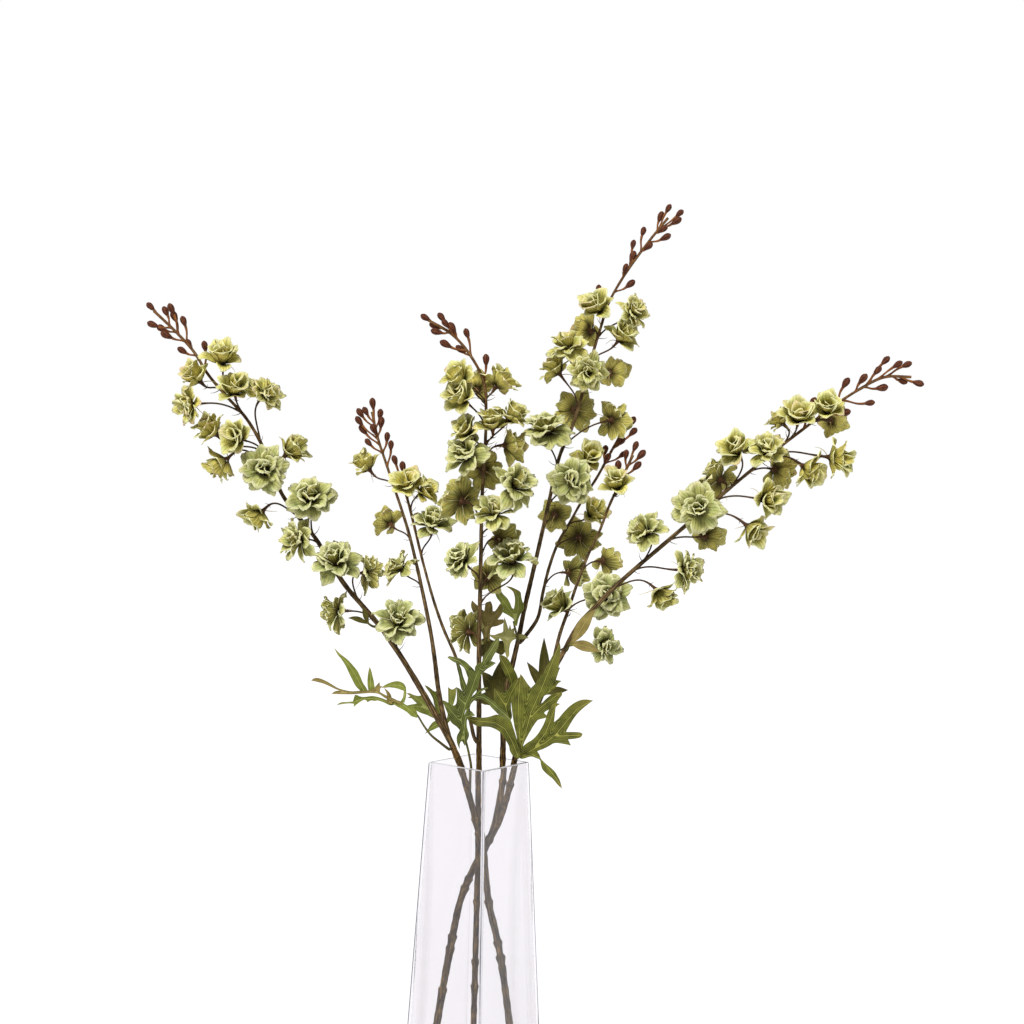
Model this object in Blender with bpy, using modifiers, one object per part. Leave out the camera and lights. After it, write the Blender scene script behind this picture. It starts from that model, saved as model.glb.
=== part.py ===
"""Cut, dried flower stems standing in a tall square glass vase.

Three stalks stand on the floor of the vase and fork into eight flowering sprays with double
blooms and clusters of buds at their tips. Deeply cut leaves grow round the mouth of the vase.
The origin is the middle of the underside of the vase, +Z up, and -Y is the front.

Places are written as they are seen from the front, in millimetres in the plane of the vase's
axis: across from the left, down from the top, and a depth away from the eye. The function
spot turns them upright and into metres.
"""

import math
import random

import bmesh
import bpy
from mathutils import Matrix, Vector

MM = 0.001
GAP = 0.3

# Vase
VASE_HEIGHT = 400.0
VASE_TOP_SIDE = 72.5
VASE_BASE_SIDE = 106.5
VASE_WALL = 3.5
VASE_FLOOR = 12.0
VASE_TURN = math.radians(6.8)
VASE_CORNER = 2.0
VASE_RIM = 0.7

# The front view that places are measured in
VIEW_MIDDLE = 512.0
EYE_ACROSS = 27.8
EYE_HEIGHT = 650.6
EYE_DISTANCE = 1422.0
VIEW_LEAN = math.radians(1.2)

# Stalks
CARRIER_STEP = 3.0
STALK_STEP = 27.0
JOINT_SWELL = 1.2
JOINT_HALF = 4.0
FOOT_RISE = 7.0
SPUR_OUT = 4.0

# Blooms, in shares of a bloom's width
PETALS = 5
PEDICEL_RADIUS = 0.95
PEDICEL_SIDES = 3
RECEPTACLE = (0.06, -0.25)
UNDER_RING = (0.17, -0.125)
GROOVE = (0.15, -0.07)
PETAL_LENGTH = 0.36
NOTCH_SHARE = 0.66
SHOULDER_SHARE = 0.94
SMALL_BLOOM = 36.0
INNER_LENGTH = 0.32
INNER_GROOVE = (0.1, 0.02)
HEART_HEIGHT = 0.24
THROAT_HEIGHT = 0.0
CUP_OPENING = 0.65
BLOOM_REACH = 23.0
OPEN_USUAL = 0.85
PETAL_RAGGED = (0.9, 1.06)
PETAL_RISE = math.radians(11)
SHOULDER_TURN = 0.24
SHOULDER_RISE = 0.015
NOTCH_RISE = 0.3
INNER_RAGGED = (0.85, 1.1)
INNER_NOTCH = (0.62, 0.45)
LAYER_RISE = 0.03
LIFT_OPEN = 8.0
LIFT_CLOSED = 95.0
INNER_LIFT = 42.0
STEEPEST = math.radians(80)
CLOSED_DROP = 0.12
AIM_SWING = 0.15
SIDE_SWING = 0.55

# Flower stalks
ROOT_DROP = 0.7
PEDICEL_LEAN = 0.7
PEDICEL_PULL = 0.38
LONG_PEDICEL = 30.0
FACE_CLEAR = 3.0

# Buds
BUD_LENGTH = 10.0
BUD_RADIUS = 3.1
BUD_STALK_RADIUS = 0.75
BUD_SWING = 5.0
BUD_TURN = 2.4
BUD_LEAN = 0.5
BUD_MIDDLE = 0.55
LONG_BUD_STALK = 8.0
BUD_RINGS = ((0.0, 0.4, 3), (0.5, 1.0, 4), (0.85, 0.72, 4))

# Leaves
LEAF_THICKNESS = 0.9
PETIOLE_RADIUS = 1.3
PETIOLE_STEP = 14.0
LOBE_FOLD = 0.12
VALLEY_SHARE = 0.24
TOOTHED_WIDTH = 18.0
WAIST = (0.16, 0.62)
NICK = (0.71, 0.55)
TOOTH_AT = 0.74
RIB_AT = (0.4, 0.74)
LOBE_ROOM = 0.56
END_TURN = math.radians(70)

AIMS = {
    "l": Vector((-1, 0, 0)),
    "r": Vector((1, 0, 0)),
    "u": Vector((0, 0, 1)),
    "d": Vector((0, 0, -1)),
    "f": Vector((0, -1, 0)),
    "b": Vector((0, 1, 0)),
}

# Each stalk: its route from the vase's floor up, its radius at foot and top, and its joints
STALKS = {
    "stalk_left": {
        "routes": [
            [(517, 1148, -6), (513, 1080, -8), (508, 1024, -10), (498, 950, -10), (487, 900, -10),
             (480, 835, -10), (461, 765, -10), (453, 747, -10)],
        ],
        "radii": [(3.7, 3.3)],
        "joints": [(499, 955), (475, 818)],
    },
    "stalk_centre": {
        "routes": [
            [(470, 1148, 0), (474, 1040, 0), (477, 930, 0), (479, 840, 0), (479, 765, 0), (479, 742, 0)],
        ],
        "radii": [(3.1, 2.8)],
        "joints": [(476, 960)],
    },
    "stalk_right": {
        "routes": [
            [(424, 1148, 6), (431, 1080, 8), (438, 1024, 10), (451, 950, 10), (463, 895, 10),
             (481, 855, 10), (493, 825, 10), (502, 775, 8), (503, 748, 8)],
            [(487, 842, 10), (500, 815, 9), (511, 775, 4), (517, 750, 2)],
        ],
        "radii": [(4.0, 3.1), (3.2, 3.1)],
        "joints": [(466, 888), (451, 948)],
    },
}

# Each spray: the stalk it grows from, its route, its radius at root and tip, its blooms as
# across, down, width, aim, opening and depth shift (both optional), and its buds
SPRAYS = {
    "spray_far_left": {
        "on": "stalk_left",
        "lap": True,
        "route": [(450, 740, -10), (430, 705, -14), (400, 655, -21), (375, 620, -27), (345, 585, -32),
                  (310, 530, -39), (285, 500, -43), (262, 445, -48), (240, 410, -51), (215, 385, -53),
                  (202, 363, -54), (190, 347, -54), (172, 328, -54), (154, 311, -53)],
        "radii": (3.2, 1.0),
        "blooms": [(222, 357, 38, "fu", 0.6), (234, 389, 30, "fu"), (267, 392, 38, "fru"),
                   (188, 405, 36, "lf"), (196, 377, 30, "lu", 0.7), (212, 430, 30, "lu", 0.7),
                   (236, 438, 30, "ffl"), (222, 464, 32, "ld", 0.7), (264, 470, 45, "f"),
                   (291, 451, 32, "ru"), (310, 495, 50, "fu", 1.0), (258, 516, 30, "ld", 0.6),
                   (296, 540, 40, "fl"), (336, 559, 45, "fu"), (369, 572, 36, "brr"),
                   (334, 611, 38, "l"), (397, 618, 50, "fu", 1.0)],
        "buds": [(151, 307), (166, 312), (172, 310), (175, 318), (184, 322), (154, 325),
                 (163, 329), (168, 336), (189, 344), (183, 351), (205, 347)],
    },
    "spray_near_left": {
        "on": "stalk_left",
        "route": [(449, 738, -2), (440, 700, 10), (432, 640, 27), (420, 580, 43), (408, 530, 55),
                  (395, 490, 63), (385, 460, 68), (377, 435, 71), (372, 412, 73)],
        "radii": (2.7, 1.0),
        "blooms": [(366, 465, 30, "lu", 0.6), (388, 522, 28, "lub"), (398, 566, 36, "lu")],
        "buds": [(373, 405), (366, 412), (361, 414), (380, 415), (360, 422), (381, 424),
                 (364, 431), (374, 430), (387, 438), (369, 443), (391, 446)],
    },
    "spray_thin": {
        "on": "stalk_centre",
        "route": [(474, 735, 4), (464, 690, 7), (455, 655, 8), (440, 620, 8), (425, 570, 8), (414, 525, 7),
                  (405, 490, 6), (400, 474, 5)],
        "radii": (2.0, 1.0),
        "blooms": [(407, 482, 30, "fu", 0.6), (424, 490, 26, "ru"), (432, 521, 42, "uuf")],
        "buds": [(395, 461), (403, 468)],
    },
    "spray_centre": {
        "on": "stalk_centre",
        "lap": True,
        "route": [(479, 740, 0), (479, 690, -7), (479, 640, -18), (480, 600, -28), (481, 550, -39),
                  (482, 500, -48), (485, 450, -56), (486, 405, -62), (482, 375, -65),
                  (470, 355, -67), (455, 337, -68), (440, 326, -68), (428, 320, -68)],
        "radii": (2.7, 1.0),
        "blooms": [(459, 378, 28, "luf", 0.6), (461, 397, 30, "luf", 0.6), (499, 382, 30, "ruu"),
                   (478, 387, 28, "bu"), (492, 423, 34, "uuf"), (512, 416, 28, "ru"),
                   (466, 430, 28, "luf"), (465, 453, 42, "luf"), (510, 445, 30, "r"),
                   (484, 470, 34, "b", 0.8, 4), (459, 500, 45, "bl"), (518, 484, 45, "fur"),
                   (494, 510, 40, "uuf"), (460, 559, 40, "lu"), (511, 556, 52, "uuf", 1.0),
                   (502, 540, 34, "br"), (488, 578, 34, "b"), (465, 631, 40, "bl")],
        "buds": [(426, 318), (442, 318), (446, 324), (435, 326), (438, 332), (453, 329),
                 (467, 334), (447, 345), (461, 350), (486, 361)],
    },
    "spray_tall_right": {
        "on": "stalk_right",
        "lap": True,
        "route": [(503, 745, 8), (505, 700, 14), (518, 641, 23), (525, 606, 29), (533, 572, 34),
                  (545, 520, 41), (560, 455, 49), (575, 420, 53), (588, 370, 57), (600, 330, 60),
                  (610, 300, 61), (628, 270, 62), (650, 240, 62), (668, 218, 62)],
        "radii": (2.9, 1.0),
        "blooms": [(597, 306, 33, "luf", 0.6), (634, 311, 36, "rfu"), (568, 344, 38, "uuf"),
                   (587, 330, 32, "bl"), (622, 336, 32, "ruf"), (556, 369, 30, "lu", 0.6),
                   (588, 373, 38, "f"), (613, 373, 30, "rb"), (575, 411, 42, "b"),
                   (614, 420, 40, "rb"), (547, 427, 48, "uuf"), (572, 480, 45, "f"),
                   (554, 515, 30, "b")],
        "buds": [(668, 209), (679, 214), (675, 222), (660, 218), (662, 230), (664, 238), (643, 232),
                 (648, 247), (633, 245), (632, 258), (625, 269), (629, 285), (599, 291)],
    },
    "spray_far_right": {
        "on": "stalk_right",
        "shoot": 1,
        "lap": True,
        "route": [(519, 745, 2), (530, 722, -1), (547, 683, -6), (562, 655, -11), (578, 626, -16),
                  (596, 606, -20), (621, 581, -26), (650, 556, -32), (684, 527, -38), (718, 498, -44),
                  (760, 463, -50), (785, 443, -53), (810, 424, -55), (838, 403, -57), (869, 384, -58),
                  (895, 374, -58), (911, 377, -57)],
        "radii": (3.0, 1.0),
        "blooms": [(780, 421, 24, "lu"), (798, 416, 30, "fu"), (828, 408, 28, "uf"),
                   (833, 421, 26, "br"), (735, 449, 32, "flu"), (766, 448, 38, "fu"),
                   (778, 470, 30, "br"), (716, 477, 42, "blu"), (836, 458, 32, "r"),
                   (808, 470, 32, "rd", 0.7), (768, 500, 32, "rf"), (752, 530, 32, "rd"),
                   (699, 508, 50, "f", 1.0), (708, 536, 34, "br"), (644, 530, 38, "flu"),
                   (688, 570, 40, "rf"), (661, 594, 30, "rd")],
        "buds": [(917, 383), (906, 365), (897, 365), (902, 381), (885, 361), (877, 371), (880, 388),
                 (862, 380), (845, 384), (869, 403), (842, 413), (825, 400), (812, 404)],
    },
    "spray_back_right": {
        "on": "spray_tall_right",
        "route": [(529, 646, 31), (537, 620, 42), (543, 592, 55), (551, 561, 68), (560, 539, 77),
                  (573, 517, 85), (590, 487, 94), (605, 466, 99), (613, 445, 103), (622, 432, 105)],
        "radii": (2.0, 1.0),
        "blooms": [(588, 458, 32, "uf"), (594, 513, 30, "ru", 0.6), (578, 538, 42, "b"),
                   (572, 573, 30, "rb")],
        "buds": [(631, 423), (632, 433), (621, 442), (605, 451), (622, 455), (607, 459)],
    },
    "spray_short_right": {
        "on": "spray_far_right",
        "route": [(550, 664, 0), (562, 626, 11), (571, 603, 18), (578, 581, 23), (584, 564, 26),
                  (597, 537, 29), (607, 512, 30), (613, 496, 30), (626, 471, 29), (633, 455, 28)],
        "radii": (2.0, 1.0),
        "blooms": [(616, 483, 32, "uuf", 0.6), (606, 561, 34, "br"), (607, 597, 46, "f"),
                   (560, 605, 32, "lu"), (606, 645, 38, "rf")],
        "buds": [(635, 447), (640, 456), (626, 455), (636, 467), (618, 468)],
    },
}

# Each leaf: what it grows from, its petiole, and its lobes as tip and width,
# in order round the blade; a wider lobe has a tooth on each side
LEAVES = {
    "leaf_left": {
        "on": "stalk_left",
        "petiole": [(447, 748, -16), (430, 734, -24), (418, 716, -30)],
        "lobes": [(337, 704, -58, 12), (312, 680, -52, 14), (336, 650, -44, 16), (372, 664, -36, 14),
                  (402, 682, -24, 12)],
    },
    "leaf_left_back": {
        "on": "spray_near_left",
        "petiole": [(447, 726, 14), (445, 722, 22), (441, 716, 28)],
        "lobes": [(424, 734, 34, 14), (404, 697, 40, 18), (420, 680, 46, 20), (452, 686, 40, 16)],
    },
    "leaf_centre": {
        "on": "stalk_left",
        "petiole": [(471, 798, -18), (471, 765, -20), (466, 742, -24), (463, 724, -27)],
        "joined": 0.32,
        "lobes": [(451, 690, -34, 14), (449, 656, -38, 20), (497, 644, -50, 26), (499, 676, -56, 18),
                  (511, 717, -62, 20)],
    },
    "leaf_right": {
        "on": "stalk_right",
        "petiole": [(518, 756, -8), (520, 757, -14), (521, 757, -20)],
        "joined": 0.36,
        "lobes": [(471, 718, -14, 24), (498, 686, -46, 22), (520, 673, -58, 26), (559, 647, -52, 32),
                  (593, 700, -40, 28), (583, 734, -46, 16), (562, 787, -30, 18)],
    },
    "leaf_back": {
        "on": "spray_tall_right",
        "petiole": [(504, 716, 20), (502, 710, 28), (500, 704, 36)],
        "lobes": [(474, 700, 52, 18), (482, 672, 58, 20), (500, 662, 64, 22), (520, 680, 60, 18)],
    },
    "leaf_upper": {
        "on": "spray_tall_right",
        "petiole": [(519, 640, 10), (516, 632, 4), (514, 624, 0)],
        "lobes": [(496, 600, -6, 14), (506, 590, -8, 14), (522, 596, -4, 16)],
    },
    "leaf_centre_back": {
        "on": "spray_centre",
        "petiole": [(481, 656, -2), (484, 646, 6), (487, 638, 12)],
        "lobes": [(470, 604, 18, 18), (490, 598, 14, 18), (508, 612, 20, 16)],
    },
    "leaf_right_back": {
        "on": "spray_far_right",
        "petiole": [(538, 706, 8), (541, 700, 16), (543, 695, 24)],
        "lobes": [(527, 662, 34, 14), (544, 638, 40, 18), (560, 668, 34, 16), (568, 690, 30, 12)],
    },
    "leaf_sheath": {
        "on": "spray_far_right",
        "petiole": [(566, 652, -18), (568, 648, -24), (570, 644, -28)],
        "lobes": [(596, 609, -34, 14), (600, 652, -42, 12)],
    },
    "leaf_slender": {
        "on": "spray_far_left",
        "petiole": [(376, 626, -30), (372, 626, -34), (369, 624, -36)],
        "lobes": [(348, 618, -42, 8), (362, 607, -40, 8)],
    },
}

COLOURS = {
    "glass": ((0.92, 0.94, 0.95), 0.05),
    "stalk": ((0.10, 0.075, 0.05), 0.7),
    "flower": ((0.36, 0.42, 0.16), 0.8),
    "leaf": ((0.12, 0.20, 0.05), 0.65),
}


def clear_scene():
    for thing in list(bpy.data.objects):
        bpy.data.objects.remove(thing, do_unlink=True)


def new_collection(name):
    group = bpy.data.collections.new(name)
    bpy.context.scene.collection.children.link(group)
    return group


def material(name, colour, rough):
    look = bpy.data.materials.new(name)
    look.use_nodes = True
    shader = look.node_tree.nodes["Principled BSDF"]
    shader.inputs["Base Color"].default_value = (*colour, 1.0)
    shader.inputs["Roughness"].default_value = rough
    shader.inputs["Metallic"].default_value = 0.0
    return look


def spot(across, down, depth=0.0):
    """The place seen there from the front, in metres, with the lean of the view taken out."""
    u = (across - VIEW_MIDDLE) * math.cos(VIEW_LEAN) + (down - VIEW_MIDDLE) * math.sin(VIEW_LEAN)
    v = (down - VIEW_MIDDLE) * math.cos(VIEW_LEAN) - (across - VIEW_MIDDLE) * math.sin(VIEW_LEAN)
    spread = 1.0 + depth / EYE_DISTANCE
    return Vector((EYE_ACROSS + u * spread, depth, EYE_HEIGHT - v * spread)) * MM


def smooth_path(points, step):
    """Even points, a step apart, on a smooth curve through the given ones."""
    ends = [2 * points[0] - points[1], *points, 2 * points[-1] - points[-2]]
    fine = []
    for a, b, c, d in zip(ends, ends[1:], ends[2:], ends[3:]):
        for i in range(12):
            t = i / 12
            bend = (c - a) * t + (2 * a - 5 * b + 4 * c - d) * t**2 + (3 * b - a - 3 * c + d) * t**3
            fine.append(b + 0.5 * bend)
    fine.append(points[-1])
    runs = [0.0]
    for a, b in zip(fine, fine[1:]):
        runs.append(runs[-1] + (b - a).length)
    count = max(2, round(runs[-1] / step))
    path = []
    at = 0
    for i in range(count + 1):
        want = runs[-1] * i / count
        while at < len(runs) - 2 and runs[at + 1] < want:
            at += 1
        share = (want - runs[at]) / (runs[at + 1] - runs[at])
        path.append(fine[at].lerp(fine[at + 1], min(1.0, share)))
    return path


class Carrier:
    """The line of a stalk or spray, on which others are seated."""

    def __init__(self, points, radii):
        self.path = smooth_path(points, CARRIER_STEP * MM)
        self.radii = radii

    def nearest(self, place):
        return min(range(len(self.path)), key=lambda i: (self.path[i] - place).length)

    def seen_at(self, across, down):
        """The index of the point that is seen nearest to a place of the front view."""

        def away(i):
            return (self.path[i] - spot(across, down, self.path[i].y / MM)).length

        return min(range(len(self.path)), key=away)

    def tangent(self, i):
        low = max(0, i - 1)
        high = min(len(self.path) - 1, i + 1)
        return (self.path[high] - self.path[low]).normalized()

    def radius(self, i):
        share = i / (len(self.path) - 1)
        return (self.radii[0] * (1 - share) + self.radii[1] * share) * MM

    def seat(self, toward):
        """A point just off the surface towards a place, and the way out from there."""
        i = self.nearest(toward)
        way = toward - self.path[i]
        way -= way.dot(self.tangent(i)) * self.tangent(i)
        way.normalize()
        return self.path[i] + way * (self.radius(i) + GAP * MM), way


def tube(name, points, radii, group):
    """A closed tube along the points, as a mesh, made from a curve with a bevel."""
    curve = bpy.data.curves.new(name, "CURVE")
    curve.dimensions = "3D"
    curve.bevel_depth = 1.0
    curve.bevel_resolution = 1
    curve.use_fill_caps = True
    line = curve.splines.new("POLY")
    line.points.add(len(points) - 1)
    for place, point, radius in zip(line.points, points, radii):
        place.co = (*point, 1.0)
        place.radius = radius
    holder = bpy.data.objects.new(name + "_line", curve)
    group.objects.link(holder)
    bpy.context.view_layer.update()
    seen = holder.evaluated_get(bpy.context.evaluated_depsgraph_get())
    mesh = bpy.data.meshes.new_from_object(seen)
    bpy.data.objects.remove(holder)
    weld(mesh)
    return new_object(name, mesh, group)


def weld(mesh):
    bm = bmesh.new()
    bm.from_mesh(mesh)
    bmesh.ops.remove_doubles(bm, verts=bm.verts, dist=0.01 * MM)
    bmesh.ops.recalc_face_normals(bm, faces=bm.faces)
    bm.to_mesh(mesh)
    bm.free()


def new_object(name, mesh, group):
    thing = bpy.data.objects.new(name, mesh)
    group.objects.link(thing)
    return thing


def mesh_of(name, points, faces):
    mesh = bpy.data.meshes.new(name)
    mesh.from_pydata(points, [], faces)
    mesh.validate()
    return mesh


def fuse(base, parts_group):
    """One Boolean union of the base with all the objects of a collection, applied."""
    join = base.modifiers.new("Union", "BOOLEAN")
    join.operation = "UNION"
    join.operand_type = "COLLECTION"
    join.collection = parts_group
    join.solver = "MANIFOLD"
    bpy.context.view_layer.update()
    seen = base.evaluated_get(bpy.context.evaluated_depsgraph_get())
    mesh = bpy.data.meshes.new_from_object(seen)
    base.modifiers.clear()
    base.data = mesh
    for thing in list(parts_group.objects):
        bpy.data.objects.remove(thing)
    bpy.data.collections.remove(parts_group)


def frames_back(points, across):
    """A crosswise pair of directions at each point, carried back from the last one."""
    frames = [None] * len(points)
    side = across
    for i in range(len(points) - 1, -1, -1):
        ahead = points[min(i + 1, len(points) - 1)] - points[max(i - 1, 0)]
        ahead.normalize()
        side = (side - side.dot(ahead) * ahead).normalized()
        frames[i] = (side, ahead.cross(side))
    return frames


class Loft:
    """A closed surface through rings of unlike counts, from a flat root to a pointed end.

    Each ring is a list of turn (0 to 1) and place."""

    def __init__(self):
        self.points = []
        self.faces = []
        self.ring = None

    def add(self, ring):
        first = len(self.points)
        self.points += [place for _, place in ring]
        new = [(turn, first + i) for i, (turn, _) in enumerate(ring)]
        if self.ring is None:
            self.faces.append([i for _, i in reversed(new)])
        else:
            self.bridge(self.ring, new)
        self.ring = new

    def bridge(self, low, high):
        def change(ring, i):
            here = ring[i][0]
            after = ring[i + 1][0] if i + 1 < len(ring) else ring[0][0] + 1
            return (here + after) / 2

        i = j = 0
        while i < len(low) or j < len(high):
            a = low[i % len(low)][1]
            b = high[j % len(high)][1]
            if j == len(high) or (i < len(low) and change(low, i) <= change(high, j)):
                i += 1
                self.faces.append([a, low[i % len(low)][1], b])
            else:
                j += 1
                self.faces.append([a, high[j % len(high)][1], b])

    def close(self, end):
        self.points.append(end)
        tip = len(self.points) - 1
        for (_, a), (_, b) in zip(self.ring, self.ring[1:] + self.ring[:1]):
            self.faces.append([a, b, tip])


def arc(start, start_way, end, end_way, pull, count):
    """Points along a bent stalk that leaves and arrives in given directions."""
    a = start + start_way * pull
    b = end - end_way * pull
    points = []
    for i in range(count + 1):
        t = i / count
        points.append(start * (1 - t) ** 3 + a * 3 * t * (1 - t) ** 2 + b * 3 * t**2 * (1 - t) + end * t**3)
    return points


def stalk_rings(loft, points, side, radius, sides):
    """Rings of a thin stalk from its root to its last point, which is left to the caller."""
    for place, (x, y) in zip(points[:-1], frames_back(points, side)[:-1]):
        ring = []
        for k in range(sides):
            turn = k / sides
            way = x * math.cos(math.tau * turn) + y * math.sin(math.tau * turn)
            ring.append((turn, place + way * radius * MM))
        loft.add(ring)


def root_on(carrier, back, aim):
    """The point of the carrier a bloom's stalk grows from, below it and behind its face."""
    near = carrier.nearest(back)
    away = (carrier.path[near] - back).length
    wanted = near - round(ROOT_DROP * away / (CARRIER_STEP * MM))

    def cost(i):
        in_front = max(0.0, (carrier.path[i] - back).dot(aim) + FACE_CLEAR * MM)
        return abs(i - wanted) * CARRIER_STEP * MM + 4 * in_front

    last = len(carrier.path) - 1
    return min(range(min(4, last), min(near + 12, last - 1)), key=cost, default=near)


def petal_edge(width, lift, draw):
    """The outer edge as turn, radius and height: petals with a blunt or a rounded end."""
    edge = []
    for k in range(PETALS):
        centre = (k + 0.5) / PETALS
        reach = PETAL_LENGTH * draw.uniform(*PETAL_RAGGED)
        rise = lift + draw.uniform(-PETAL_RISE, PETAL_RISE)
        tip = GROOVE[0] + reach * math.cos(rise)
        height = GROOVE[1] + reach * math.sin(rise)
        notch = (GROOVE[0] + PETAL_LENGTH * math.cos(lift)) * NOTCH_SHARE
        edge.append((k / PETALS, notch, GROOVE[1] + NOTCH_RISE * PETAL_LENGTH * math.sin(lift)))
        edge.append((centre - SHOULDER_TURN / PETALS, tip * SHOULDER_SHARE, height + SHOULDER_RISE))
        if width >= SMALL_BLOOM:
            edge.append((centre, tip, height))
        edge.append((centre + SHOULDER_TURN / PETALS, tip * SHOULDER_SHARE, height + SHOULDER_RISE))
    return edge


def inner_edge(lift, draw):
    """The edge of the second layer, whose petals stand between those of the first."""
    edge = []
    for k in range(PETALS):
        rise = draw.uniform(*INNER_RAGGED) * INNER_LENGTH * math.sin(lift)
        tip = INNER_GROOVE[0] + rise / math.tan(lift)
        foot = GROOVE[1] + LAYER_RISE
        edge.append((k / PETALS, tip, foot + rise))
        edge.append(((k + 0.5) / PETALS, INNER_NOTCH[0] * tip, foot + INNER_NOTCH[1] * rise))
    return edge


def bloom_shape(width, opening, draw):
    """Rings of a double bloom as turn, radius and height, and the height of its heart."""
    lift = math.radians(LIFT_OPEN + LIFT_CLOSED * (1 - opening))
    inner_lift = min(STEEPEST, lift + math.radians(INNER_LIFT))
    centres = [(k + 0.5) / PETALS for k in range(PETALS)]
    rings = [
        [(k / PEDICEL_SIDES, *RECEPTACLE) for k in range(PEDICEL_SIDES)],
        [(turn, *UNDER_RING) for turn in centres],
        petal_edge(width, lift, draw),
        [(turn, *GROOVE) for turn in centres],
        inner_edge(inner_lift, draw),
        [(turn, *INNER_GROOVE) for turn in centres],
    ]
    heart = THROAT_HEIGHT if opening <= CUP_OPENING else HEART_HEIGHT
    shift = -CLOSED_DROP * (1 - opening)
    scaled = [[(turn, r * width, (z + shift) * width) for turn, r, z in ring] for ring in rings]
    return scaled, (heart + shift) * width


def bloom_aim(letters, draw):
    """The way a bloom faces; one seen from the side also turns a little to the front or back."""
    aim = sum((AIMS[c] for c in letters), Vector()).normalized()
    swings = (AIM_SWING, AIM_SWING if aim.y else SIDE_SWING, AIM_SWING)
    return (aim + Vector([draw.uniform(-swing, swing) for swing in swings])).normalized()


def bloom(name, carrier, place, group):
    """A double bloom on its own bent stalk, as one closed surface."""
    across, down, width, letters = place[:4]
    opening = place[4] if len(place) > 4 else OPEN_USUAL
    shift = place[5] if len(place) > 5 else 0
    draw = random.Random(name)
    aim = bloom_aim(letters, draw)
    side = aim.cross(Vector([draw.uniform(-1, 1) for _ in range(3)])).normalized()
    depth = carrier.path[carrier.seen_at(across, down)].y / MM + aim.y * BLOOM_REACH + shift
    middle = spot(across, down, depth)
    rings, heart = bloom_shape(width, opening, draw)
    back = middle + aim * rings[0][0][2] * MM
    root = root_on(carrier, back, aim)
    start = carrier.path[root]
    way = back - start
    out = (way - way.dot(carrier.tangent(root)) * carrier.tangent(root)).normalized()
    leave = (out + PEDICEL_LEAN * carrier.tangent(root)).normalized()
    count = 2 if way.length < LONG_PEDICEL * MM else 3
    points = arc(start, leave, back, aim, PEDICEL_PULL * way.length, count)
    cross = aim.cross(side)
    loft = Loft()
    stalk_rings(loft, points, side, PEDICEL_RADIUS, PEDICEL_SIDES)
    for ring in rings:
        placed = []
        for turn, radius, height in ring:
            way = side * math.cos(math.tau * turn) + cross * math.sin(math.tau * turn)
            placed.append((turn, middle + (way * radius + aim * height) * MM))
        loft.add(placed)
    loft.close(middle + aim * heart * MM)
    return new_object(name, mesh_of(name, loft.points, loft.faces), group)


def bud(name, carrier, place, group, turn):
    """A teardrop bud on a short stalk, as one closed surface."""
    near = carrier.seen_at(*place)
    middle = spot(*place, carrier.path[near].y / MM + BUD_SWING * math.sin(turn * BUD_TURN))
    away = (middle - carrier.path[near]).length
    root = max(1, near - 1 - round(ROOT_DROP * away / (CARRIER_STEP * MM)))
    start = carrier.path[root]
    along = (middle - start).normalized()
    aim = (along + BUD_LEAN * carrier.tangent(root)).normalized()
    back = middle - aim * BUD_MIDDLE * BUD_LENGTH * MM
    count = 2 if away > LONG_BUD_STALK * MM else 1
    points = arc(start, along, back, aim, PEDICEL_PULL * (back - start).length, count)
    side = aim.orthogonal().normalized()
    cross = aim.cross(side)
    loft = Loft()
    stalk_rings(loft, points, side, BUD_STALK_RADIUS, 3)
    for share, radius, sides in BUD_RINGS:
        ring = []
        for k in range(sides):
            way = side * math.cos(math.tau * k / sides) + cross * math.sin(math.tau * k / sides)
            ring.append((k / sides, back + aim * share * BUD_LENGTH * MM + way * radius * BUD_RADIUS * MM))
        loft.add(ring)
    loft.close(back + aim * BUD_LENGTH * MM)
    return new_object(name, mesh_of(name, loft.points, loft.faces), group)


def tapered(points, radii):
    total = len(points) - 1
    return [(radii[0] * (total - i) + radii[1] * i) / total * MM for i in range(total + 1)]


def with_joints(path, radii, joints):
    """The path's points and radii, with a swollen ring at each place an old leaf joined."""
    points = list(path)
    sizes = tapered(path, radii)
    for joint in joints:
        place = spot(*joint, path[0].y / MM)
        at = min(range(1, len(points) - 1), key=lambda i: (points[i] - place).length)
        middle = points[at]
        ahead = (points[at + 1] - points[at - 1]).normalized() * JOINT_HALF * MM
        points[at:at + 1] = [middle - ahead, middle - ahead * 0.4, middle + ahead * 0.4, middle + ahead]
        plain = sizes[at]
        sizes[at:at + 1] = [plain, plain * JOINT_SWELL, plain * JOINT_SWELL, plain]
    return points, sizes


def stalk_path(route, stands):
    """Even points along a stalk; one that stands in the vase starts upright on its floor."""
    points = [spot(*place) for place in route]
    if not stands:
        return smooth_path(points, STALK_STEP * MM)
    foot = Vector((points[0].x, points[0].y, (VASE_FLOOR + GAP) * MM))
    ankle = foot + Vector((0, 0, FOOT_RISE * MM))
    return [foot, *smooth_path([ankle, *points[1:]], STALK_STEP * MM)]


def build_stalk(name, spec, group, carriers):
    """A cut stalk from the vase's floor to the mouth, with its second shoot if it forks."""
    main = stalk_path(spec["routes"][0], True)
    base = tube(name, *with_joints(main, spec["radii"][0], spec["joints"]), group)
    carriers[name] = [Carrier(main, spec["radii"][0])]
    parts = new_collection("parts_of_" + name)
    for route, radii in zip(spec["routes"][1:], spec["radii"][1:]):
        shoot = stalk_path(route, False)
        tube(name + "_shoot", shoot, tapered(shoot, radii), parts)
        carriers[name].append(Carrier(shoot, radii))
    if len(parts.objects):
        fuse(base, parts)
    else:
        bpy.data.collections.remove(parts)
    return base


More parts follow.
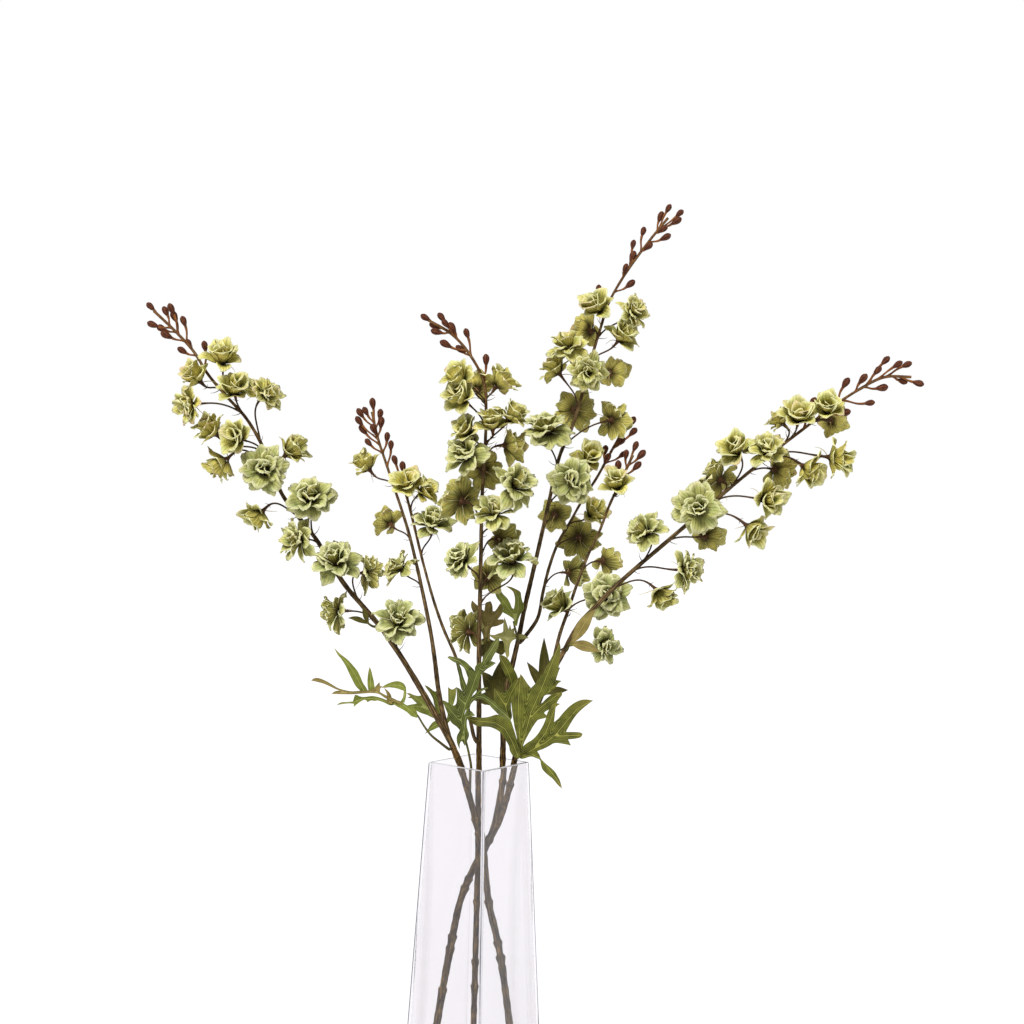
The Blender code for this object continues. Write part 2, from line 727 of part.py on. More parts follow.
def build_spray(name, spec, group, carriers):
    """A flowering branch with all its blooms and buds, joined as one body."""
    lower = carriers[spec["on"]][spec.get("shoot", 0)]
    points = [spot(*place) for place in spec["route"]]
    if spec.get("lap"):
        start = lower.path[-1]
        way = lower.tangent(len(lower.path) - 1)
        first = start + way * GAP * MM
        head = [first, first + way * SPUR_OUT * MM]
    else:
        start, way = lower.seat(points[0])
        head = [start, start + way * SPUR_OUT * MM]
    path = [head[0], *smooth_path([head[1], *points[1:]], STALK_STEP * MM)]
    base = tube(name, path, tapered(path, spec["radii"]), group)
    line = Carrier(path, spec["radii"])
    carriers[name] = [line]
    parts = new_collection("parts_of_" + name)
    for i, place in enumerate(spec["blooms"]):
        bloom(f"{name}_bloom_{i}", line, place, parts)
    for i, place in enumerate(spec["buds"]):
        bud(f"{name}_bud_{i}", line, place, parts, i)
    fuse(base, parts)
    return base


def blade_faces(base, lobes, normal, valley_share):
    """The top points and triangles of a fan of lobes, each given as its tip and width."""
    points = [base]
    faces = []
    ways = [(tip - base).normalized() for tip, _ in lobes]
    turns = [a.angle(b) for a, b in zip(ways, ways[1:])]

    def put(place):
        points.append(place)
        return len(points) - 1

    valley = 0
    for i, (tip, width) in enumerate(lobes):
        length = (tip - base).length
        along = ways[i]
        out = normal.cross(along).normalized()
        fold = normal * width * LOBE_FOLD
        ribs = (
            put(base + along * length * RIB_AT[0] - fold),
            put(base + along * length * RIB_AT[1] - fold / 2),
            put(tip),
        )
        if i + 1 < len(lobes):
            reach = (length + (lobes[i + 1][0] - base).length) / 2
            next_valley = put(base + (ways[i] + ways[i + 1]).normalized() * valley_share * reach)
        else:
            next_valley = 0
        for first, side, j, low in ((True, out, i - 1, valley), (False, -out, i, next_valley)):
            turn = turns[j] if 0 <= j < len(turns) else END_TURN
            room = min(width / 2, LOBE_ROOM * length * math.tan(turn / 2))
            edge = [
                put(base + along * length * (valley_share + WAIST[0]) + side * room * WAIST[1]),
                put(base + along * length * NICK[0] + side * room * NICK[1]),
            ]
            if width > TOOTHED_WIDTH * MM:
                edge.insert(1, put(base + along * length * TOOTH_AT + side * room))
            half = half_lobe(low, edge, ribs)
            faces += [face[::-1] for face in half] if first else half
        valley = next_valley
    return points, faces


def half_lobe(valley, edge, ribs):
    """Triangles on one side of a lobe's midrib, with its tooth if it has one."""
    waist = edge[0]
    nick = edge[-1]
    low, high, tip = ribs
    faces = [(0, waist, low), (low, waist, nick), (low, nick, high), (high, nick, tip)]
    if len(edge) > 2:
        faces.append((waist, edge[1], nick))
    if valley:
        faces.append((0, valley, waist))
    return faces


def blade(name, base, lobes, valley_share, group):
    """A thin cut blade with both faces split alike."""
    normal = Vector((0, 0, 0))
    for (a, _), (b, _) in zip(lobes, lobes[1:]):
        normal += (b - base).cross(a - base).normalized()
    normal.normalize()
    points, faces = blade_faces(base, lobes, normal, valley_share)
    count = len(points)
    half = normal * LEAF_THICKNESS * MM / 2
    solid = [p + half for p in points] + [p - half for p in points]
    skins = [list(face) for face in faces]
    skins += [[i + count for i in reversed(face)] for face in faces]
    edges = [edge for face in faces for edge in zip(face, face[1:] + face[:1])]
    for a, b in edges:
        if (b, a) not in edges:
            skins.append([b, a, a + count])
            skins.append([b, a + count, b + count])
    return new_object(name, mesh_of(name, solid, skins), group)


def build_leaf(name, spec, group, carriers):
    """A leaf with its petiole, seated on its stalk."""
    lines = carriers[spec["on"]]
    points = [spot(*place) for place in spec["petiole"]]
    line = min(lines, key=lambda c: (c.path[c.nearest(points[0])] - points[0]).length)
    start, way = line.seat(points[0])
    path = [start, *smooth_path([start + way * SPUR_OUT * 0.6 * MM, *points[1:]], PETIOLE_STEP * MM)]
    base = path[-1]
    lobes = [(spot(a, d, y), width * MM) for a, d, y, width in spec["lobes"]]
    inward = sum(((tip - base).normalized() for tip, _ in lobes), Vector()).normalized()
    path.append(base + inward * 3 * MM)
    stem = tube(name, path, [PETIOLE_RADIUS * MM] * len(path), group)
    parts = new_collection("parts_of_" + name)
    blade(name + "_blade", base, lobes, spec.get("joined", VALLEY_SHARE), parts)
    fuse(stem, parts)
    return stem


def tapered_block(base_side, top_side, low, high, corner):
    """A four-sided block that narrows upwards, its upright edges rounded."""
    bm = bmesh.new()
    bmesh.ops.create_cone(
        bm, cap_ends=True, segments=4, radius1=base_side / math.sqrt(2) * MM,
        radius2=top_side / math.sqrt(2) * MM, depth=(high - low) * MM,
        matrix=Matrix.Translation((0, 0, (low + high) / 2 * MM)),
    )
    upright = [e for e in bm.edges if abs(e.verts[0].co.z - e.verts[1].co.z) > 1 * MM]
    bmesh.ops.bevel(bm, geom=upright, offset=corner * MM, segments=2, profile=0.5, affect="EDGES")
    bmesh.ops.rotate(bm, verts=bm.verts, cent=(0, 0, 0), matrix=Matrix.Rotation(VASE_TURN, 3, "Z"))
    mesh = bpy.data.meshes.new("block")
    bm.to_mesh(mesh)
    bm.free()
    return mesh


def build_vase(group, cutters):
    """A tall square tapered glass vase with a thick floor."""
    outer = tapered_block(VASE_BASE_SIDE, VASE_TOP_SIDE, 0, VASE_HEIGHT, VASE_CORNER)
    vase = new_object("vase", outer, group)
    slope = (VASE_BASE_SIDE - VASE_TOP_SIDE) / VASE_HEIGHT
    past = 20.0
    inner_low = VASE_BASE_SIDE - slope * VASE_FLOOR - 2 * VASE_WALL
    inner_high = VASE_TOP_SIDE - slope * past - 2 * VASE_WALL
    hollow = tapered_block(inner_low, inner_high, VASE_FLOOR, VASE_HEIGHT + past, VASE_CORNER / 2)
    cutter = new_object("vase_hollow", hollow, cutters)
    cutter.display_type = "WIRE"
    cutter.hide_render = True
    cut = vase.modifiers.new("Hollow", "BOOLEAN")
    cut.operation = "DIFFERENCE"
    cut.object = cutter
    soften = vase.modifiers.new("Edges", "BEVEL")
    soften.width = VASE_RIM * MM
    soften.segments = 1
    soften.limit_method = "ANGLE"
    soften.angle_limit = math.radians(50)
    return vase


def finish(thing, look):
    thing.data.materials.clear()
    thing.data.materials.append(look)
    thing.data.shade_smooth()
    thing.data.set_sharp_from_angle(angle=math.radians(40))


def main():
    clear_scene()
    parts = new_collection("hop_stems_in_vase")
    cutters = new_collection("cutters")
    finish(build_vase(parts, cutters), material("clear_glass", *COLOURS["glass"]))
    carriers = {}
    for name, spec in STALKS.items():
        finish(build_stalk(name, spec, parts, carriers), material(name + "_bark", *COLOURS["stalk"]))
    for name, spec in SPRAYS.items():
        finish(build_spray(name, spec, parts, carriers), material(name + "_petals", *COLOURS["flower"]))
    for name, spec in LEAVES.items():
        finish(build_leaf(name, spec, parts, carriers), material(name + "_blade", *COLOURS["leaf"]))


main()
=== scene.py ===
# %% [markdown]
# # Dried flower stems in a tall glass vase
#
# The object is a square, tapered vase of clear glass with three cut stalks in it. They fork into eight
# flowering sprays. The blooms are double, with four rings of thin green petals, and the buds at the
# tips are small brown teardrops. Deeply cut leaves grow round the vase's mouth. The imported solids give
# every piece its place and size. This script models the finer pieces that show instead of them.

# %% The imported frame
import math
import random

import bmesh
import bpy
from mathutils import Matrix, Vector, noise
from mathutils.geometry import delaunay_2d_cdt


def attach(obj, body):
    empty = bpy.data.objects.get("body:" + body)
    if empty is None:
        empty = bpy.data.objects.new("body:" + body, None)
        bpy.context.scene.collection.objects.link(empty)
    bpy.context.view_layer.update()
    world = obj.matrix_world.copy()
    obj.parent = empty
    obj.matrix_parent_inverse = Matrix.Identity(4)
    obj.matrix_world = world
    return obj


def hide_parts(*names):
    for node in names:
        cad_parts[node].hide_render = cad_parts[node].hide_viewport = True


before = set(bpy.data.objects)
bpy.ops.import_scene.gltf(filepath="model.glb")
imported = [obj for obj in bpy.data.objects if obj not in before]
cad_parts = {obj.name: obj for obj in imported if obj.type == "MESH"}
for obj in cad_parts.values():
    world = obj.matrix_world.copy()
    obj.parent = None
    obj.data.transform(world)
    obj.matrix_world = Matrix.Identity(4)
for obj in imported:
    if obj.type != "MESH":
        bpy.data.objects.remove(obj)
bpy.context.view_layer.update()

MM = 0.001

# %% [markdown]
# ## Working by hand, from a script
#
# Operators act on what is selected, and loading the frame leaves its nodes selected. So each step first
# says which objects it works on. In edit mode corners are picked by their place, as a hand would pick
# them with the mouse. Petals and lobes start as a flat grid whose rows are drawn in to an outline.


# %% Selecting, joining and copying
# how near to a row's place its corners lie, in forms of about one unit
NEAR = 0.01


def only(*things):
    """Selects these objects alone and makes the first one active."""
    bpy.ops.object.select_all(action="DESELECT")
    for thing in things:
        thing.select_set(True)
    bpy.context.view_layer.objects.active = things[0]


def pick(thing, test, mode="VERT"):
    """In edit mode, selects the corners whose place passes the test, then goes to a selection mode."""
    bpy.ops.mesh.select_mode(type="VERT")
    shape = bmesh.from_edit_mesh(thing.data)
    for corner in shape.verts:
        corner.select = test(corner.co)
    shape.select_flush_mode()
    bmesh.update_edit_mesh(thing.data)
    bpy.ops.mesh.select_mode(type=mode)


def pick_edges(thing, test):
    """In edit mode, selects the edges that pass the test."""
    bpy.ops.mesh.select_mode(type="EDGE")
    bpy.ops.mesh.select_all(action="DESELECT")
    shape = bmesh.from_edit_mesh(thing.data)
    for edge in shape.edges:
        edge.select = test(edge)
    bmesh.update_edit_mesh(thing.data)


def apply_place(thing):
    """Puts the object at the origin, unturned and unscaled, with its place in its mesh."""
    only(thing)
    bpy.ops.object.transform_apply(location=True, rotation=True, scale=True)


def join(name, things):
    """Joins objects into one named piece."""
    only(*things)
    if len(things) > 1:
        bpy.ops.object.join()
    piece = bpy.context.object
    piece.name = name
    piece.data.name = name
    return piece


def put(name, data):
    """Puts a new object into the scene."""
    thing = bpy.data.objects.new(name, data)
    bpy.context.scene.collection.objects.link(thing)
    return thing


def copy_of(form):
    """A copy of a form in the scene, with its own mesh."""
    copy = form.copy()
    copy.data = form.data.copy()
    bpy.context.scene.collection.objects.link(copy)
    return copy


def grid_form(name, across, along, outline):
    """A flat form from its base at the origin to its tip one unit along +Y, its rows drawn in."""
    bpy.ops.object.select_all(action="DESELECT")
    bpy.ops.mesh.primitive_grid_add(
        x_subdivisions=across, y_subdivisions=along, size=1, location=(0, 0.5, 0)
    )
    form = bpy.context.object
    form.name = name
    apply_place(form)
    bpy.ops.object.mode_set(mode="EDIT")
    for row, share in enumerate(outline):
        pick(form, lambda p: abs(p.y - row / along) < NEAR)
        bpy.ops.transform.resize(value=(share, 1, 1))
    bpy.ops.object.mode_set(mode="OBJECT")
    return form


def hand_in(piece, slot, *nodes):
    """Fixes a finished piece to the body and hides the solids it stands for; its finish is not used."""
    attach(piece, "root")
    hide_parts(*nodes)
    triangles = sum(len(face.vertices) - 2 for face in piece.data.polygons)
    print(piece.name, "triangles:", triangles)


bpy.ops.object.select_all(action="DESELECT")

# %% [markdown]
# ## Colours and shader nodes
#
# Colours are written as they are seen on a screen, in hex. A shader adds light, so it needs them linear.
# One small function adds a shader node, sets it up and links its sockets, which keeps each material
# short enough to read. The types of all nodes here start with the same word, which it puts first.


# %% Colours and nodes
def linear(hex_colour):
    """The linear colour, with alpha, of an sRGB hex value."""
    shares = [int(hex_colour[i:i + 2], 16) / 255 for i in (1, 3, 5)]
    return [s / 12.92 if s <= 0.04045 else ((s + 0.055) / 1.055) ** 2.4 for s in shares] + [1.0]


def add_node(tree, kind, sockets=None, **settings):
    """Adds a node with its settings. A socket takes a value, an output or a node's first output."""
    new = tree.nodes.new("ShaderNode" + kind)
    for name, value in settings.items():
        setattr(new, name, value)
    for name, value in (sockets or {}).items():
        if isinstance(value, bpy.types.Node):
            value = value.outputs[0]
        if isinstance(value, bpy.types.NodeSocket):
            tree.links.new(value, new.inputs[name])
        else:
            new.inputs[name].default_value = value
    return new


def new_material(name, **sockets):
    """A Principled material with these sockets set, its node tree and its shader."""
    look = bpy.data.materials.new(name)
    look.use_nodes = True
    shader = look.node_tree.nodes["Principled BSDF"]
    for socket, value in sockets.items():
        shader.inputs[socket.replace("_", " ")].default_value = value
    return look, look.node_tree, shader


# %% [markdown]
# ## Studio
#
# The photograph was taken in front of a pure white ground with large soft lights. A white sky gives the
# even light from all sides. A wide, soft sun from the upper left front gives the petals a light and a
# shaded side. The floor is a plain pale disc, large enough to reach the horizon in any view. It glows
# only to the eye, so it is as pale as the photograph's ground and doesn't light the petals from below.

# %% Camera, light and floor
# the eye stands 1.42 m away and a little over the middle, and the photo leans by about a degree
LENS = 50.0
EYE = Vector((27.8, -1422.0, 650.6)) * MM
LEAN = math.radians(1.2)
SKY_LIGHT = 0.36
GLOSS_LIGHT = 0.5
SUN_ANGLE = math.radians(24)
SUN_POWER = 3.2
SUN_TURN = (math.radians(42), math.radians(-18), 0)
SUN_COLOUR = (1.0, 0.99, 0.965)
ALL_BOUNCES = 40
GLASS_BOUNCES = 32
FLOOR_RADIUS = 30.0
FLOOR_GLOW = 0.905

camera_data = bpy.data.cameras.new("camera")
camera_data.lens = LENS
camera = put("camera", camera_data)
camera.matrix_world = (
    Matrix.Translation(EYE) @ Matrix.Rotation(math.radians(90), 4, "X") @ Matrix.Rotation(LEAN, 4, "Z")
)
bpy.context.scene.camera = camera
bpy.context.scene.view_settings.view_transform = "Standard"
# light runs along inside the glass walls with many reflections before it gets out
light_paths = bpy.context.scene.cycles
light_paths.max_bounces = ALL_BOUNCES
light_paths.glossy_bounces = light_paths.transmission_bounces = GLASS_BOUNCES

world = bpy.data.worlds.new("white studio")
world.use_nodes = True
bpy.context.scene.world = world
sky = world.node_tree
sky.nodes.clear()
ray = add_node(sky, "LightPath")
# rough surfaces mirror less of the sky than polished glass does
rough = add_node(sky, "Math", {0: ray.outputs["Is Glossy Ray"], 1: ray.outputs["Is Singular Ray"]},
                 operation="SUBTRACT")
gloss = add_node(sky, "MapRange", {"Value": rough, "To Min": 1.0, "To Max": GLOSS_LIGHT})
seen = add_node(sky, "Background", {"Color": (1, 1, 1, 1), "Strength": gloss})
lit = add_node(sky, "Background", {"Color": linear("#FCFBFC"), "Strength": SKY_LIGHT})
both = add_node(sky, "MixShader", {0: ray.outputs["Is Diffuse Ray"]})
sky.links.new(seen.outputs[0], both.inputs[1])
sky.links.new(lit.outputs[0], both.inputs[2])
add_node(sky, "OutputWorld", {"Surface": both})

sun_data = bpy.data.lights.new("soft sun", "SUN")
sun_data.energy = SUN_POWER
sun_data.angle = SUN_ANGLE
sun_data.color = SUN_COLOUR
sun = put("soft sun", sun_data)
sun.rotation_euler = SUN_TURN

bpy.ops.mesh.primitive_circle_add(vertices=64, radius=FLOOR_RADIUS, fill_type="NGON", location=(0, 0, 0))
floor = bpy.context.object
floor.name = "floor"
floor_paint, tree, shader = new_material("matt white board", Roughness=0.9)
shader.inputs["Emission Color"].default_value = (1, 1, 1, 1)
ray = add_node(tree, "LightPath")
glow = add_node(tree, "MapRange", {"Value": ray.outputs["Is Diffuse Ray"], "To Min": FLOOR_GLOW,
                                   "To Max": 0})
tree.links.new(glow.outputs[0], shader.inputs["Emission Strength"])
board = add_node(tree, "MixRGB", {"Fac": ray.outputs["Is Diffuse Ray"], "Color1": linear("#6A6B70"),
                                  "Color2": linear("#F0F0F0")})
tree.links.new(board.outputs[0], shader.inputs["Base Color"])
floor.data.materials.append(floor_paint)

# %% [markdown]
# ## The vase
#
# The vase is pressed glass: a tall square that narrows upwards, with a thick floor and thin walls. A
# cube is the nearest primitive. Its top is drawn in, and its top face is inset by the thickness of the
# wall and pushed down to the floor, which is how a hollow with even walls is cut by hand. Its upright
# corners are rounded, the two at the sides most, and the rims last, as they are flame polished on the
# real one. Weighted normals keep the wide panes flat beside the rounded corners, so that what is behind
# them doesn't look bent.

# %% Vase
VASE_HEIGHT = 400 * MM
VASE_BASE = 106.5 * MM
VASE_TOP = 72.5 * MM
VASE_WALL = 3.5 * MM
VASE_FLOOR = 12 * MM
# one corner points to the front, a little to the right
VASE_TURN = math.radians(45 + 6.8)
OUTER_CORNER = 1.0 * MM
SIDE_CORNER = 2.4 * MM
INNER_CORNER = 0.8 * MM
RIM_ROUND = 0.8 * MM
SHARP = math.radians(40)
VASE_SMOOTH = math.radians(32)


def upright(edge):
    return abs(edge.verts[0].co.z - edge.verts[1].co.z) > VASE_HEIGHT / 2


def foot_height(edge):
    return min(corner.co.z for corner in edge.verts)


def sharp(edge):
    return edge.calc_face_angle(0) > SHARP


def level_with(edge, height):
    return all(abs(c.co.z - height) < MM / 2 for c in edge.verts) and sharp(edge)


def facing(edge):
    """Positive at the front and back corners of the cube, and negative at those of its sides."""
    return edge.verts[0].co.x * edge.verts[0].co.y


bpy.ops.object.select_all(action="DESELECT")
bpy.ops.mesh.primitive_cube_add(
    size=1, location=(0, 0, VASE_HEIGHT / 2), scale=(VASE_BASE, VASE_BASE, VASE_HEIGHT)
)
vase = bpy.context.object
vase.name = "vase_glass"
apply_place(vase)
bpy.ops.object.mode_set(mode="EDIT")
pick(vase, lambda p: p.z > VASE_HEIGHT / 2)
bpy.ops.transform.resize(value=(VASE_TOP / VASE_BASE, VASE_TOP / VASE_BASE, 1))
pick(vase, lambda p: p.z > VASE_HEIGHT / 2, "FACE")
bpy.ops.mesh.inset(thickness=VASE_WALL)
bpy.ops.mesh.extrude_region_move(TRANSFORM_OT_translate={"value": (0, 0, VASE_FLOOR - VASE_HEIGHT)})
low_side = VASE_BASE - (VASE_BASE - VASE_TOP) * VASE_FLOOR / VASE_HEIGHT
grow = (low_side - 2 * VASE_WALL) / (VASE_TOP - 2 * VASE_WALL)
bpy.ops.transform.resize(value=(grow, grow, 1))
for which, width in ((1, OUTER_CORNER), (-1, SIDE_CORNER)):
    pick_edges(vase, lambda e: upright(e) and foot_height(e) < MM and facing(e) * which > 0 and sharp(e))
    bpy.ops.mesh.bevel(offset=width, segments=2, affect="EDGES")
pick_edges(vase, lambda e: upright(e) and foot_height(e) > VASE_FLOOR - MM)
bpy.ops.mesh.bevel(offset=INNER_CORNER, segments=4, affect="EDGES")
for height in (VASE_HEIGHT, VASE_FLOOR, 0):
    pick_edges(vase, lambda e: level_with(e, height))
    bpy.ops.mesh.bevel(offset=RIM_ROUND, segments=3, affect="EDGES")
bpy.ops.object.mode_set(mode="OBJECT")
vase.rotation_euler.z = VASE_TURN
apply_place(vase)
bpy.ops.object.shade_smooth_by_angle(angle=VASE_SMOOTH)
flat = vase.modifiers.new("flat panes", "WEIGHTED_NORMAL")
flat.keep_sharp = True
bpy.ops.object.modifier_apply(modifier=flat.name)
shape = bmesh.new()
shape.from_mesh(vase.data)
print("vase in mm:", [round(v / MM, 1) for v in vase.dimensions])
print("glass in cm3:", round(shape.calc_volume() * 1e6))
shape.free()

# %% [markdown]
# Clear soda-lime glass bends light with an index near 1.5. Its thin walls look colourless, and only its
# edges, where the eye looks through more of it, turn a pale grey lilac. A smooth transmitting shader
# with a faint tint gives both, because light at the edges passes the tint several times. Its specular
# level is low, so the panes mirror little of the white studio. The narrow corner faces get a painted
# dark line and a painted highlight, and the flat top of the mouth a painted highlight, for the dark and
# bright lines that light draws in a thick glass corner.

# %% Clear glass
# which faces are narrow and lie at a corner, and which way they look
CORNER_AREA = 10e-4
CORNER_OUT = 40 * MM
CORNER_BACK = 20 * MM
LEVEL = 0.9
STEEP = 0.2
# front corner faces that turn less far to the right than this get the painted dark line
DARK_UP_TO = 0.1
GLASS_INDEX = 1.5
CLEAR, PAINTED_HIGHLIGHT, PAINTED_LINE, PAINTED_OUTLINE = range(4)

finishes = (
    new_material("clear pressed glass", Base_Color=linear("#F6F4F6"), Roughness=0.0, IOR=GLASS_INDEX,
                 Transmission_Weight=1.0, Specular_IOR_Level=0.22),
    new_material("glass edge painted with a highlight", Base_Color=linear("#F4F3F8"), Roughness=0.35,
                 IOR=GLASS_INDEX, Transmission_Weight=0.35),
    new_material("glass corner painted with a dark line", Base_Color=linear("#8C8B98"), Roughness=0.5,
                 IOR=GLASS_INDEX, Specular_IOR_Level=0.1, Transmission_Weight=0.1),
    new_material("glass corner at the side, darker because light leaves it sideways",
                 Base_Color=linear("#6A6974"), Roughness=0.5, IOR=GLASS_INDEX, Specular_IOR_Level=0.1),
)
for finish in finishes:
    vase.data.materials.append(finish[0])


def glass_finish(face):
    """Which finish a face of the vase has: clear, or one of the painted highlights, lines and outlines.
    """
    # the flat top of the wall at the mouth gets a painted highlight
    if face.center.z > VASE_HEIGHT - MM / 4 and face.normal.z > LEVEL:
        return PAINTED_HIGHLIGHT
    narrow = face.area < CORNER_AREA and abs(face.normal.z) < STEEP
    outside = face.normal.to_2d().dot(face.center.to_2d()) > 0
    if not (narrow and outside and face.center.to_2d().length > CORNER_OUT):
        return CLEAR
    if face.center.y < -CORNER_BACK:
        # the front corner gets a painted dark line beside a painted highlight
        return PAINTED_LINE if face.normal.x < DARK_UP_TO else PAINTED_HIGHLIGHT
    if face.center.y < CORNER_BACK:
        # a side corner is painted dark where it faces the front, as the shade that draws the outline of
        # the glass, and gets a painted highlight behind
        return PAINTED_OUTLINE if face.normal.y < 0 else PAINTED_HIGHLIGHT
    return CLEAR


for face in vase.data.polygons:
    face.material_index = glass_finish(face)
hand_in(vase, "clear_glass", "vase")

# %% [markdown]
# ## Where things are
#
# Places are written as they are seen from the front: millimetres across from the left, down from the
# top, and a depth away from the eye. The function below turns them upright and into metres. It is the
# same rule that places the solids, so the finer pieces lie where the solids are.

# %% Places and smooth lines
# in mm: the middle of the view, the gap between grown pieces, the steps along their lines, and how far
# a side branch first runs straight out
VIEW_MIDDLE = 512.0
GAP = 0.3
CARRIER_STEP = 3.0
STALK_STEP = 27.0
SPUR_OUT = 4.0
# cuts of a curve between two given points
CURVE_CUTS = 12


def spot(across, down, depth=0.0):
    """The place seen there from the front, in metres, with the lean of the view taken out."""
    u = (across - VIEW_MIDDLE) * math.cos(LEAN) + (down - VIEW_MIDDLE) * math.sin(LEAN)
    v = (down - VIEW_MIDDLE) * math.cos(LEAN) - (across - VIEW_MIDDLE) * math.sin(LEAN)
    spread = 1.0 - depth * MM / EYE.y
    return Vector((EYE.x + u * spread * MM, depth * MM, EYE.z - v * spread * MM))


def smooth_path(points, step):
    """Even points, a step apart, on a smooth curve through the given ones."""
    ends = [2 * points[0] - points[1], *points, 2 * points[-1] - points[-2]]
    fine = []
    for a, b, c, d in zip(ends, ends[1:], ends[2:], ends[3:]):
        for i in range(CURVE_CUTS):
            t = i / CURVE_CUTS
            bend = (c - a) * t + (2 * a - 5 * b + 4 * c - d) * t**2 + (3 * b - a - 3 * c + d) * t**3
            fine.append(b + 0.5 * bend)
    fine.append(points[-1])
    runs = [0.0]
    for a, b in zip(fine, fine[1:]):
        runs.append(runs[-1] + (b - a).length)
    count = max(2, round(runs[-1] / step))
    even = []
    at = 0
    for i in range(count + 1):
        want = runs[-1] * i / count
        while at < len(runs) - 2 and runs[at + 1] < want:
            at += 1
        share = (want - runs[at]) / (runs[at + 1] - runs[at])
        even.append(fine[at].lerp(fine[at + 1], min(1.0, share)))
    return even


class Carrier:
    """The line of a stalk or spray, on which others are seated."""

    def __init__(self, points, radii):
        self.path = smooth_path(points, CARRIER_STEP * MM)
        self.radii = radii

    def nearest(self, place):
        return min(range(len(self.path)), key=lambda i: (self.path[i] - place).length)

    def seen_at(self, across, down):
        """The index of the point that is seen nearest to a place of the front view."""

        def away(i):
            return (self.path[i] - spot(across, down, self.path[i].y / MM)).length

        return min(range(len(self.path)), key=away)

    def tangent(self, i):
        low = max(0, i - 1)
        high = min(len(self.path) - 1, i + 1)
        return (self.path[high] - self.path[low]).normalized()

    def radius(self, i):
        share = i / (len(self.path) - 1)
        return self.radii[0] * (1 - share) + self.radii[1] * share

    def seat(self, toward):
        """A point just off the surface towards a place, and the way out from there."""
        i = self.nearest(toward)
        way = toward - self.path[i]
        way -= way.dot(self.tangent(i)) * self.tangent(i)
        way.normalize()
        return self.path[i] + way * (self.radius(i) + GAP) * MM, way


# %% [markdown]
# ## The plan of the stems
#
# Each stalk is written as its route from the vase's floor up, its radius at foot and top, and the places
# where old leaves left a ring. Each spray is written as what it grows from, its route, its blooms as
# across, down, width and aim, with an opening and a shift in depth where they differ, and its buds. An
# aim of "luf" faces left, up and to the front. Each leaf is written as what it grows from, its stalk and
# the tips of its lobes, with their widths.

# %% Stalks, sprays and leaves
FOOT_RISE = 7.0

STALKS = {
    "stalk_left": {
        "routes": [
            [(517, 1148, -6), (513, 1080, -8), (508, 1024, -10), (498, 950, -10), (487, 900, -10),
             (480, 835, -10), (461, 765, -10), (453, 747, -10)],
        ],
        "radii": [(3.7, 3.3)],
        "joints": [(499, 955), (475, 818)],
    },
    "stalk_centre": {
        "routes": [
            [(470, 1148, 0), (474, 1040, 0), (477, 930, 0), (479, 840, 0), (479, 765, 0), (479, 742, 0)],
        ],
        "radii": [(3.1, 2.8)],
        "joints": [(476, 960)],
    },
    "stalk_right": {
        "routes": [
            [(424, 1148, 6), (431, 1080, 8), (438, 1024, 10), (451, 950, 10), (463, 895, 10),
             (481, 855, 10), (493, 825, 10), (502, 775, 8), (503, 748, 8)],
            [(487, 842, 10), (500, 815, 9), (511, 775, 4), (517, 750, 2)],
        ],
        "radii": [(4.0, 3.1), (3.2, 3.1)],
        "joints": [(466, 888), (451, 948)],
    },
}

